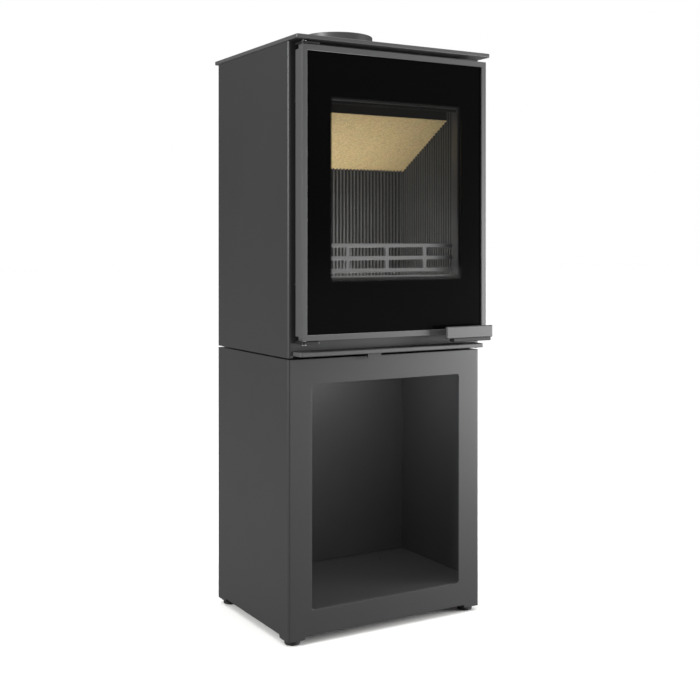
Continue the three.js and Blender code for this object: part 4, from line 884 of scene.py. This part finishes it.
def make_feet():
    """Levelling feet: a round pad with a rolled lower edge and a grip of flutes, on a threaded stem.

    The flutes make the pad's radius dip with the cosine of 24 times the angle. The thread makes the stem's
    radius rise and fall once a pitch in height and once a turn in angle, which is a helix.
    """
    def fluted(radius):
        return lambda angle: radius - 0.35 * (1 - np.cos(24 * angle)) / 2

    def thread(z):
        return lambda angle: STEM_RADIUS - 0.6 * np.abs((z / THREAD_PITCH - angle / (2 * np.pi)) % 1 - 0.5)

    for place in CORNERS:
        node = "levelling_foot_" + place
        low, high = span(node)
        x, y, _ = centre(node)
        radius, pad = high[0] - x, low[2] + PAD_HEIGHT
        turn = np.linspace(0, np.pi / 2, 6)
        rows = [(0, low[2] + 0.8), (radius * 0.6, low[2] + 0.8), (radius * 0.66, low[2])]
        rows += [(radius - 2.5 * (1 - np.sin(a)), low[2] + 2.5 * (1 - np.cos(a))) for a in turn]
        rows += [(fluted(radius), z) for z in (low[2] + 3.5, pad - 2.2)]
        rows += [(radius - 1.8 * (1 - np.cos(a)), pad - 1.8 * (1 - np.sin(a))) for a in turn]
        rows += [(STEM_RADIUS + 2.2, pad), (STEM_RADIUS + 1.6, pad - 0.2)]
        rows += [(thread(z), z) for z in np.arange(pad - 0.2, high[2] - 0.8, THREAD_PITCH / 4)]
        rows += [(STEM_RADIUS - 1, high[2]), (0, high[2])]
        make_piece("foot_" + place, turned(rows, x, y, 48), node)


def hexagon(flats, limit):
    """Radius of a hexagon as a function of the angle, kept under a limit so that its corners are chamfered."""
    def radius(angle):
        return np.minimum(flats / 2 / np.cos((angle + np.pi / 6) % (np.pi / 3) - np.pi / 6), limit)
    return radius


def make_bolts():
    """Bolts between the log store and the stove: chamfered hexagon heads on round shanks."""
    for place in CORNERS:
        node = "stove_bolt_" + place
        low, high = span(node)
        x, y, _ = centre(node)
        flats, head = high[1] - low[1], low[2] + BOLT_HEAD
        corner = flats / np.sqrt(3)
        rows = [(0, low[2]), (flats * 0.44, low[2]), (hexagon(flats, flats * 0.5), low[2] + 0.01),
                (hexagon(flats, corner), low[2] + 0.8), (hexagon(flats, corner), head - 0.4),
                (hexagon(flats, flats * 0.52), head), (BOLT_RADIUS, head), (BOLT_RADIUS, high[2] - 0.8),
                (BOLT_RADIUS - 0.8, high[2]), (0, high[2])]
        make_piece("bolt_" + place, turned(rows, x, y, 48), node)


def cap_screw(front, head, radius, shank, tip, x, z):
    """A low domed screw with a hexagon socket, its axis level: head from `head` to `front`, shank to `tip`."""
    step = np.sign(front - head)
    socket = hexagon(radius, radius)
    rows = [(0, front - step), (socket, front - step), (socket, front), (radius * 0.75, front - step * 0.1),
            (radius * 0.93, front - step * 0.5), (radius, front - step * 0.9), (radius, head), (shank, head),
            (shank, tip + step * 0.6), (shank - 0.5, tip), (0, tip)]
    return facing(turned(rows, x, z, 36))


def make_screws():
    """The screws that hold the pane's inner frame, and the rear panels' screws."""
    for place in ("upper_left", "lower_left", "upper_right", "lower_right"):
        node = "door_screw_" + place
        low, high = span(node)
        x, _, z = centre(node)
        screw = cap_screw(high[1], high[1] - 2, high[0] - x, 1.7, low[1], x, z)
        make_piece("pane_screw_" + place, screw, node)

    low, high = span("back_panel")
    store_low, store_high = span("base_rear_cover")
    levels = (low[2] + REAR_SCREW_INSET, (low[2] + high[2]) / 2, high[2] - REAR_SCREW_INSET,
              store_low[2] + REAR_SCREW_INSET, store_high[2] - REAR_SCREW_INSET)
    across = high[0] - REAR_SCREW_INSET
    face = high[1] + 0.05
    heads = [cap_screw(face + 2, face, 3.5, 1.7, face - 2.5, sx * across, z) for sx in (-1, 1) for z in levels]
    extra_piece("rear_panel_screws", joined(heads), "zinc_steel", "stove")


# ------------------------------------------------------------------------------------------------
# Fireside castings
# ------------------------------------------------------------------------------------------------
def under_baffle(y):
    """Height of the linings' tops at a depth: level before the baffle, and a gap under its slope behind."""
    front, top = BAFFLE_EDGE
    return np.where(y < front, LINING_TOP, top - GAP - np.tan(BAFFLE_SLOPE) * (y - front))


def ribs(centres, depth, height):
    """Upright ribs: a bar with rounded edges, repeated along the first coordinate, its tip at level zero."""
    half = size("rib_width") / 2
    bar = plate([rectangle(-half, half, 0, depth, 1.1, 4)], 0, height, 0.5, steps=2)
    return repeated(bar, np.stack([centres, np.zeros(len(centres)), np.zeros(len(centres))], 1))


def rib_centres(start, end):
    """Middles of the ribs between two ends: as many whole pitches as fit, centred."""
    pitch, width = size("rib_pitch"), size("rib_width")
    count = int((end - start + pitch - width) / pitch)
    return (start + end) / 2 + (np.arange(count) - (count - 1) / 2) * pitch


def make_linings():
    """The ribbed side and rear linings, their tops cut to lie under the baffle's slope.

    A side lining is drawn to a flat top and then stretched, with two creases where the baffle's front edge
    makes a step in its top.
    """
    depth, height = size("rib_depth"), 100.0
    step = [BAFFLE_EDGE[0] - FINE, BAFFLE_EDGE[0]]
    for side, sign in (("left", -1), ("right", 1)):
        node = "side_lining_" + side
        low, high = span(node)
        tip, back = sign * CHAMBER_HALF, (high[0] if sign > 0 else low[0])
        outline = np.array([(low[1], 0), (high[1], 0), (high[1], height), (low[1], height)], float)
        slab = plate([creased(outline, step)], depth, abs(back - tip), size("cast_edge"), step)
        bars, bar_faces = ribs(rib_centres(low[1], high[1]), depth + 1, height)
        points, faces = joined([sideways(slab), (bars[:, [1, 0, 2]], bar_faces)])
        points[:, 0] = tip + sign * points[:, 0]
        stretch_to(points, low[2], under_baffle(points[:, 1]), height)
        hook_x = sorted((sign * (CHAMBER_HALF - HOOK[0]), sign * (CHAMBER_HALF + depth + 1)))
        hook = plate([rectangle(hook_x[0], hook_x[1], HOOK[1], HOOK[2], 1.5)], HOOK[3], HOOK[4], 1.2)
        piece = make_piece("lining_" + side, joined([(points, faces), hook]), node)
        # painted shade in the grooves between the ribs
        mark_groove_shade(piece, 0, tip, tip + sign * depth)

    low, high = span("rear_lining")
    holes = []
    for drop, shift in AIR_HOLES:
        row = shift + np.arange(-8, 9) * AIR_HOLE_PITCH
        row = row[np.abs(row) < AIR_HOLE_REACH]
        holes += [circle(x, high[2] - drop, AIR_HOLE_RADIUS, 16) for x in row]
    slab = plate([rectangle(low[0], high[0], low[2], high[2], 1)] + holes, low[1] + depth, high[1], 0.5)
    bars, bar_faces = ribs(rib_centres(low[0], high[0]), depth + 1, high[2] - low[2])
    points, faces = joined([facing(slab), (bars + (0, low[1], low[2]), bar_faces)])
    near_top = points[:, 2] > high[2] - 2
    points[near_top, 2] -= np.tan(BAFFLE_SLOPE) * (points[near_top, 1] - low[1])
    piece = make_piece("lining_rear", (points, faces), "rear_lining")
    # painted shade in the grooves between the ribs
    mark_groove_shade(piece, 1, low[1], low[1] + depth)


def make_throat():
    """The firebox's front plate with the throat's rounded rim, a closed section carried round its opening."""
    low, high = span("fire_front_plate")
    half, bottom, top = THROAT
    rim_outline = rectangle(-half, half, bottom, top, THROAT_CORNER)
    section = softened([(0, low[1]), (0, high[1] - GAP), (THROAT_WALL, high[1] - GAP), (THROAT_WALL, low[1])],
                       [0.8, 0.2, 0.2, 1.6], 5)
    opening = inset(rim_outline, THROAT_WALL - 0.15)
    outline = rectangle(low[0], high[0], low[2], high[2], 2)
    front_plate = plate([outline, opening], high[1] - FRONT_PLATE, high[1], size("sheet_edge"))
    make_piece("throat", facing(joined([front_plate, carried(section, rim_outline)])), "fire_front_plate")


def stretch_to(points, bottom, top, height):
    """Moves the upper half of a shape of a given height up to a top that may differ for every point."""
    upper = points[:, 2] > height / 2
    points[:, 2] = np.where(upper, top - (height - points[:, 2]), bottom + points[:, 2])


def make_baffle():
    """The baffle: a board with worn edges, drawn flat and laid on the slope.

    Its edge is moved inwards by the sum of two sines of the distance along it, 37 and 11 waves to the round,
    which wears the arris unevenly.
    """
    low, high = span("baffle_board")
    front, level = BAFFLE_EDGE
    run = (high[1] - front - BAFFLE_THICKNESS * np.sin(BAFFLE_SLOPE)) / np.cos(BAFFLE_SLOPE)
    stations = 240
    outline = resampled(rectangle(low[0], high[0], 0, run, 0.8, 2), stations)
    around = np.linspace(0, 2 * np.pi, stations, endpoint=False)
    outline = inset(outline, 0.3 + 0.15 * np.sin(37 * around) + 0.15 * np.sin(11 * around))
    points, faces = plate([outline], 0, BAFFLE_THICKNESS, 1.4)
    x, along, up = points.T
    y = front + along * np.cos(BAFFLE_SLOPE) + up * np.sin(BAFFLE_SLOPE)
    z = level - along * np.sin(BAFFLE_SLOPE) + up * np.cos(BAFFLE_SLOPE)
    make_piece("baffle", (np.stack([x, y, z], 1), faces), "baffle_board")


def make_log_retainer():
    """The log retainer: a flat casting of three bars and three posts with filleted corners, its ends swept
    back.

    It is drawn flat with its windows, and then every point moves back by the sweep times the square of its
    share of the way from the straight middle to the end.
    """
    low, high = span("log_retainer")
    end, post, bar, pitch, fillet = high[0], 4.0, RETAINER_BAR, RETAINER_PITCH, 2.6
    bars = low[2] + np.arange(3) * pitch
    outer = RETAINER_POSTS + post
    comb = []
    for lower, upper in zip(bars, bars[1:]):
        comb += [(end, lower), (end, lower + bar), (outer, lower + bar), (outer, upper)]
    comb += [(end, bars[2]), (end, high[2])]
    right = np.array(comb)
    cut = np.array([1.2, 1.2, fillet, fillet] * 2 + [1.2, 1.2])
    outline = softened(np.vstack([right, right[::-1] * (-1, 1)]), np.concatenate([cut, cut[::-1]]), 5)
    windows = [rectangle(x0 + post, x1 - post, lower + bar, upper, fillet, 5)
               for x0, x1 in ((-RETAINER_POSTS, 0), (0, RETAINER_POSTS))
               for lower, upper in zip(bars, bars[1:])]
    straight = end - RETAINER_END
    stations = np.linspace(straight + 0.5, end - 2, 12)
    flat, faces = plate([outline] + windows, 0, RETAINER_THICKNESS, 1.3, np.concatenate([-stations, stations]))
    x, z, level = flat.T
    share = np.clip((np.abs(x) - straight) / (end - straight), 0, 1)
    y = low[1] + level + (high[1] - low[1] - RETAINER_THICKNESS) * share ** 2
    make_piece("retainer_casting", (np.stack([x, y, z], 1), faces), "log_retainer")


def make_grate():
    """The loose grate: a cast plate with round-ended slots."""
    low, high = span("grate")
    seat = GRATE_BORDER
    pitch = (high[0] - low[0] + 2 - 2 * seat) / GRATE_SLOTS
    half = GRATE_SLOT / 2
    slots = [rectangle(x - half, x + half, low[1] + seat - 1, high[1] - seat + 1, half - 0.1)
             for x in (np.arange(GRATE_SLOTS) - (GRATE_SLOTS - 1) / 2) * pitch]
    casting = plate([rectangle(low[0], high[0], low[1], high[1], 3)] + slots, low[2], high[2], 1.2)
    # painted shade, darkening the grate from its top face down to its underside
    mark_groove_shade(make_piece("grate_casting", casting, "grate"), 2, high[2], low[2])


# ------------------------------------------------------------------------------------------------
# Door
# ------------------------------------------------------------------------------------------------
def make_door_frame():
    """The door's frame: an angle section carried round the door, with a clearance notch at each hinge corner.

    The section's points are (inset, depth), and the depth of its back edge is held shallow at the stations
    that lie in a notch.
    """
    low, high = span("door_frame")
    x0, z0, x1, z1 = low[0], low[2], high[0], high[2]
    notch_x, notch_low, notch_high = x0 + DOOR_WALL + 1, z0 + NOTCH[0], z1 - NOTCH[0]
    stations = np.array([
        (x0, z0, 1), (notch_x - FINE, z0, 1), (notch_x, z0, 0), (x1, z0, 0), (x1, z1, 0), (notch_x, z1, 0),
        (notch_x - FINE, z1, 1), (x0, z1, 1), (x0, notch_high, 1), (x0, notch_high - FINE, 0),
        (x0, notch_low + FINE, 0), (x0, notch_low, 1)])
    section = softened([
        (0, low[1]), (0, high[1]), (DOOR_WALL, high[1]), (DOOR_WALL, low[1] + DOOR_LIP_THICKNESS),
        (DOOR_LIP, low[1] + DOOR_LIP_THICKNESS), (DOOR_LIP, low[1])],
        [size("cast_edge"), 0.5, 0.5, 0.8, 0.5, 0.8], 4)
    profile = np.repeat(section[:, None, :], len(stations), 1)
    limit = np.where(stations[:, 2] > 0, high[1] - NOTCH[1], high[1])
    profile[..., 1] = np.minimum(profile[..., 1], limit[None])
    points, faces = carried(profile, stations[:, :2])
    margin = profile[..., 0].reshape(-1)
    points[:, 0] = np.clip(points[:, 0], x0 + margin, x1 - margin)
    points[:, 1] = np.clip(points[:, 1], z0 + margin, z1 - margin)
    make_piece("door_casting", facing((points, faces)), "door_frame")


def make_pane():
    """The glass pane, with ground edges."""
    low, high = span("door_glass")
    pane = plate([rectangle(low[0], high[0], low[2], high[2], 2)], low[1], high[1], 0.7)
    make_piece("pane", facing(pane), "door_glass")


def make_door_seal():
    """The door's rope seal: a braid carried round the fire opening.

    The rope's radius at an angle round it and a distance along it is the larger of two crossing waves, which
    raises a diamond at every crossing of the yarns.
    """
    low, high = span("door_seal")
    radius = (high[1] - low[1]) / 2
    path = rectangle(low[0] + radius, high[0] - radius, low[2] + radius, high[2] - radius, 14, 10)
    path = resampled(path, 900)
    along = np.arange(len(path))[None, :] * 2 * np.pi / len(path)
    around = np.linspace(0, 2 * np.pi, 20, endpoint=False)[:, None]
    turns = 150
    braid = np.maximum(np.abs(np.cos(3 * around + turns * along)), np.abs(np.cos(3 * around - turns * along)))
    thick = radius * (0.88 + 0.12 * braid)
    profile = np.stack([thick * np.cos(around), (low[1] + high[1]) / 2 + thick * np.sin(around)], -1)
    make_piece("rope_seal_ring", facing(carried(profile, path)), "door_seal")


def pin_rows(points):
    """Rows of a turned pin with small chamfers, from (radius, height) corners; both ends are on the axis."""
    return softened(points, [0] + [0.4] * (len(points) - 2) + [0], 2)


def make_hinges():
    """Hinge brackets with their loose pins."""
    for place, side in (("upper", 1), ("lower", -1)):
        node = "hinge_bracket_" + place
        low, high = span(node)
        x, y, _ = centre("hinge_pin_" + place)
        outline = rectangle(low[0], high[0], low[1], high[1], 5, 8)
        bracket = plate([outline, circle(x, y, 3 + GAP, 32)], low[2], high[2], 0.8)
        make_piece("bracket_" + place, bracket, node)

        low, high = span("hinge_pin_" + place)
        tip, cap, outer = (low[2], high[2] - 1.5, high[2]) if side > 0 else (high[2], low[2] + 1.5, low[2])
        rows = pin_rows([(0, tip), (3, tip), (3, cap), (4.5, cap), (4.5, outer), (0, outer)])
        make_piece("pin_" + place, turned(rows, x, y, 32), "hinge_pin_" + place)


def make_handle():
    """The handle: a steel bar with eased edges on a lever that turns on a pin, and the keeper it catches."""
    low, high = span("handle_bar")
    face = rectangle(low[0], high[0], low[2], high[2], [2, 3, 2, 2], 6)
    bar = plate([face], low[1], high[1], size("handle_edge"), steps=6)
    make_piece("handle_grip", facing(bar), "handle_bar")

    low, high = span("handle_lever")
    x, y, _ = centre("handle_pin")
    arm, block_back, plate_top = x - 6, low[1] + 14, low[2] + 12
    block = plate([rectangle(low[0], high[0], low[2], high[2], 2, 5)], low[1], block_back, 1.5)
    outline = softened([
        (arm - 3, block_back - 1), (high[0], block_back - 1), (high[0], y + 7), (x, y + 7), (x, high[1] - 5),
        (arm + 9, high[1] - 5), (arm + 9, high[1]), (arm, high[1]), (arm, y + 7), (arm - 3, y + 7)],
        [0.2, 0.2, 2, 1.5, 1, 0.8, 1.5, 1.5, 1, 1], 4)
    arm_plate = plate([outline, circle(x, y, 3 + GAP, 32)], low[2], plate_top, 0.8)
    make_piece("lever_forging", joined([facing(block), arm_plate]), "handle_lever")

    low, high = span("handle_pin")
    head = low[2] + 1.5
    rows = pin_rows([(0, low[2]), (4.5, low[2]), (4.5, head), (3, head), (3, high[2]), (0, high[2])])
    make_piece("lever_pin", turned(rows, x, y, 32), "handle_pin")

    low, high = span("latch_keeper")
    outline = softened([
        (high[0] - 3, low[1] + 3), (low[0], low[1] + 3), (low[0], low[1]), (high[0], low[1]),
        (high[0], high[1]), (high[0] - 3, high[1])], [0.4, 1, 1, 2.5, 0.4, 0.4], 5)
    make_piece("keeper", plate([outline], low[2], high[2], 0.5), "latch_keeper")


def finish_kept_parts():
    """Parts of the frame whose shapes stay as they are, given their finishes."""
    for node, part in frame["nodes"].items():
        if not part.hide_render:
            part.data.materials.clear()
            part.data.materials.append(finish_of(SLOT_OF[node]))


# ------------------------------------------------------------------------------------------------
# Stage
# ------------------------------------------------------------------------------------------------
def soft_light(name, place, target, width, height, power):
    """A rectangular soft light at a place, in metres, that faces a target."""
    lamp = bpy.data.lights.new(name, "AREA")
    lamp.shape = "RECTANGLE"
    lamp.size, lamp.size_y, lamp.energy = width, height, power
    light = bpy.data.objects.new(name, lamp)
    light.location = place
    light.rotation_euler = (Vector(target) - Vector(place)).to_track_quat("-Z", "Y").to_euler()
    bpy.context.scene.collection.objects.link(light)
    return light


def make_stage():
    """A pale floor, an even white surround, soft lights and the camera."""
    half = 30.0
    mesh = bpy.data.meshes.new("floor")
    corners = [(-half, -half, 0), (half, -half, 0), (half, half, 0), (-half, half, 0)]
    mesh.from_pydata(corners, [], [(0, 1, 2, 3)])
    mesh.materials.append(studio_floor())
    floor = bpy.data.objects.new("floor", mesh)
    bpy.context.scene.collection.objects.link(floor)

    scene = bpy.context.scene
    scene.view_settings.view_transform = "Standard"
    surround = bpy.data.worlds.new("surround")
    surround.use_nodes = True
    tree = surround.node_tree
    tree.nodes.clear()
    ray = add_node(tree, "ShaderNodeTexCoord").outputs["Generated"]
    rise = add_node(tree, "ShaderNodeSeparateXYZ", {}, {"Vector": ray}).outputs["Z"]
    steep = add_node(tree, "ShaderNodeMath", {"operation": "POWER", "use_clamp": True}, {0: rise, 1: 2.0})
    glow = add_node(tree, "ShaderNodeMapRange", {}, {
        "Value": steep.outputs["Value"], "From Min": 0.0, "From Max": 1.0,
        "To Min": HORIZON_GLOW, "To Max": OVERHEAD_GLOW})
    seen = add_node(tree, "ShaderNodeLightPath").outputs["Is Camera Ray"]
    strength = add_node(tree, "ShaderNodeMix", {}, {"Factor": seen, 2: glow.outputs["Result"], 3: 1.0})
    sky = add_node(tree, "ShaderNodeBackground", {}, {
        "Color": (1.0, 1.0, 1.0, 1.0), "Strength": strength.outputs[0]})
    out = add_node(tree, "ShaderNodeOutputWorld")
    tree.links.new(sky.outputs["Background"], out.inputs["Surface"])
    scene.world = surround

    # The first three stand round the stove. The others stand in the firebox and under the log store's top
    # panel, each facing away from the camera, and light the baffle, the rear lining and the store's back.
    soft_light("key", (2.1, -1.35, 0.5), (0.2, -0.14, 0.6), 1.0, 1.2, 93.0)
    soft_light("fill", (0.15, -3.2, 0.1), (0.0, 0.0, 0.9), 1.2, 0.8, 6.0)
    soft_light("left", (-3.4, -0.45, 1.7), (-0.2, 0.0, 0.8), 1.0, 1.8, 126.0)
    soft_light("glow", (-0.04, -0.09, 0.665), (-0.06, 0.06, 0.97), 0.22, 0.06, 0.7)
    soft_light("hearth", (0.0, -0.16, 0.745), (0.0, 0.0, 0.745), 0.28, 0.11, 0.22)
    soft_light("store", (-0.02, -0.08, 0.515), (0.0, 0.14, 0.25), 0.3, 0.05, 1.2)

    lens = bpy.data.cameras.new("view")
    lens.lens, lens.sensor_width = 57.53, 36.0
    lens.shift_x, lens.shift_y = -0.0005, -0.1494
    lens.clip_start, lens.clip_end = 0.05, 200.0
    camera = bpy.data.objects.new("view", lens)
    camera.location = (-1.1726, -1.9875, 0.7494)
    camera.rotation_euler = (np.radians(90), 0.0, np.radians(-30.43))
    scene.collection.objects.link(camera)
    scene.camera = camera


# ------------------------------------------------------------------------------------------------
# Operators, panel and registration
# ------------------------------------------------------------------------------------------------
class STOVE_OT_casings(bpy.types.Operator):
    """Folds the log store's casing and the stove's casing"""

    bl_idname = "stove.casings"
    bl_label = "Casings"

    def execute(self, context):
        make_casings()
        return {"FINISHED"}


class STOVE_OT_panels(bpy.types.Operator):
    """Cuts the log store's panels and the stove's rear panel"""

    bl_idname = "stove.panels"
    bl_label = "Panels"

    def execute(self, context):
        make_panels()
        return {"FINISHED"}


class STOVE_OT_plates(bpy.types.Operator):
    """Cuts the lip plate and the top"""

    bl_idname = "stove.plates"
    bl_label = "Plates"

    def execute(self, context):
        make_plates()
        return {"FINISHED"}


class STOVE_OT_flue_collar(bpy.types.Operator):
    """Turns the flue collar"""

    bl_idname = "stove.flue_collar"
    bl_label = "Flue collar"

    def execute(self, context):
        make_flue_collar()
        return {"FINISHED"}


class STOVE_OT_air_spigot(bpy.types.Operator):
    """Turns the air inlet spigot"""

    bl_idname = "stove.air_spigot"
    bl_label = "Air spigot"

    def execute(self, context):
        make_air_spigot()
        return {"FINISHED"}


class STOVE_OT_feet(bpy.types.Operator):
    """Turns the levelling feet"""

    bl_idname = "stove.feet"
    bl_label = "Feet"

    def execute(self, context):
        make_feet()
        return {"FINISHED"}


class STOVE_OT_bolts(bpy.types.Operator):
    """Turns the bolts between the log store and the stove"""

    bl_idname = "stove.bolts"
    bl_label = "Bolts"

    def execute(self, context):
        make_bolts()
        return {"FINISHED"}


class STOVE_OT_screws(bpy.types.Operator):
    """Turns the door's screws and the rear panels' screws"""

    bl_idname = "stove.screws"
    bl_label = "Screws"

    def execute(self, context):
        make_screws()
        return {"FINISHED"}


class STOVE_OT_throat(bpy.types.Operator):
    """Builds the firebox's front plate and the rim of its throat"""

    bl_idname = "stove.throat"
    bl_label = "Throat"

    def execute(self, context):
        make_throat()
        return {"FINISHED"}


class STOVE_OT_linings(bpy.types.Operator):
    """Casts the ribbed side and rear linings"""

    bl_idname = "stove.linings"
    bl_label = "Linings"

    def execute(self, context):
        make_linings()
        return {"FINISHED"}


class STOVE_OT_baffle(bpy.types.Operator):
    """Cuts the vermiculite baffle"""

    bl_idname = "stove.baffle"
    bl_label = "Baffle"

    def execute(self, context):
        make_baffle()
        return {"FINISHED"}


class STOVE_OT_log_retainer(bpy.types.Operator):
    """Casts the log retainer"""

    bl_idname = "stove.log_retainer"
    bl_label = "Log retainer"

    def execute(self, context):
        make_log_retainer()
        return {"FINISHED"}


class STOVE_OT_grate(bpy.types.Operator):
    """Casts the loose grate"""

    bl_idname = "stove.grate"
    bl_label = "Grate"

    def execute(self, context):
        make_grate()
        return {"FINISHED"}


class STOVE_OT_door_frame(bpy.types.Operator):
    """Casts the door's frame"""

    bl_idname = "stove.door_frame"
    bl_label = "Door frame"

    def execute(self, context):
        make_door_frame()
        return {"FINISHED"}


class STOVE_OT_pane(bpy.types.Operator):
    """Cuts the glass pane"""

    bl_idname = "stove.pane"
    bl_label = "Pane"

    def execute(self, context):
        make_pane()
        return {"FINISHED"}


class STOVE_OT_door_seal(bpy.types.Operator):
    """Braids the door's rope seal"""

    bl_idname = "stove.door_seal"
    bl_label = "Door seal"

    def execute(self, context):
        make_door_seal()
        return {"FINISHED"}


class STOVE_OT_hinges(bpy.types.Operator):
    """Makes the hinge brackets and their pins"""

    bl_idname = "stove.hinges"
    bl_label = "Hinges"

    def execute(self, context):
        make_hinges()
        return {"FINISHED"}


class STOVE_OT_handle(bpy.types.Operator):
    """Makes the handle, its lever, pin and keeper"""

    bl_idname = "stove.handle"
    bl_label = "Handle"

    def execute(self, context):
        make_handle()
        return {"FINISHED"}


class STOVE_OT_kept_parts(bpy.types.Operator):
    """Gives their finishes to the parts of the frame that are shown as they are"""

    bl_idname = "stove.kept_parts"
    bl_label = "Kept parts"

    def execute(self, context):
        finish_kept_parts()
        return {"FINISHED"}


class STOVE_OT_stage(bpy.types.Operator):
    """Makes the floor, the lights and the camera"""

    bl_idname = "stove.stage"
    bl_label = "Stage"

    def execute(self, context):
        make_stage()
        return {"FINISHED"}


OPERATORS = (
    STOVE_OT_casings,
    STOVE_OT_panels,
    STOVE_OT_plates,
    STOVE_OT_flue_collar,
    STOVE_OT_air_spigot,
    STOVE_OT_feet,
    STOVE_OT_bolts,
    STOVE_OT_screws,
    STOVE_OT_throat,
    STOVE_OT_linings,
    STOVE_OT_baffle,
    STOVE_OT_log_retainer,
    STOVE_OT_grate,
    STOVE_OT_door_frame,
    STOVE_OT_pane,
    STOVE_OT_door_seal,
    STOVE_OT_hinges,
    STOVE_OT_handle,
    STOVE_OT_kept_parts,
    STOVE_OT_stage,
)


class STOVE_PT_panel(bpy.types.Panel):
    """Lists the steps that build the stove, and its sizes and colours"""

    bl_idname = "STOVE_PT_panel"
    bl_label = "Stove"
    bl_space_type = "VIEW_3D"
    bl_region_type = "UI"
    bl_category = "Stove"

    def draw(self, context):
        column = self.layout.column()
        for step in OPERATORS:
            column.operator(step.bl_idname)
        for group in (context.scene.stove_sizes, context.scene.stove_colours):
            for name in group.__annotations__:
                column.prop(group, name)


CLASSES = (StoveSizes, StoveColours) + OPERATORS + (STOVE_PT_panel,)


def register():
    for made in CLASSES:
        bpy.utils.register_class(made)
    bpy.types.Scene.stove_sizes = PointerProperty(type=StoveSizes)
    bpy.types.Scene.stove_colours = PointerProperty(type=StoveColours)


def unregister():
    del bpy.types.Scene.stove_sizes
    del bpy.types.Scene.stove_colours
    for made in reversed(CLASSES):
        bpy.utils.unregister_class(made)


def main():
    register()
    bpy.ops.stove.casings()
    bpy.ops.stove.panels()
    bpy.ops.stove.plates()
    bpy.ops.stove.flue_collar()
    bpy.ops.stove.air_spigot()
    bpy.ops.stove.feet()
    bpy.ops.stove.bolts()
    bpy.ops.stove.screws()
    bpy.ops.stove.throat()
    bpy.ops.stove.linings()
    bpy.ops.stove.baffle()
    bpy.ops.stove.log_retainer()
    bpy.ops.stove.grate()
    bpy.ops.stove.door_frame()
    bpy.ops.stove.pane()
    bpy.ops.stove.door_seal()
    bpy.ops.stove.hinges()
    bpy.ops.stove.handle()
    bpy.ops.stove.kept_parts()
    bpy.ops.stove.stage()


if __name__ == "__main__":
    main()
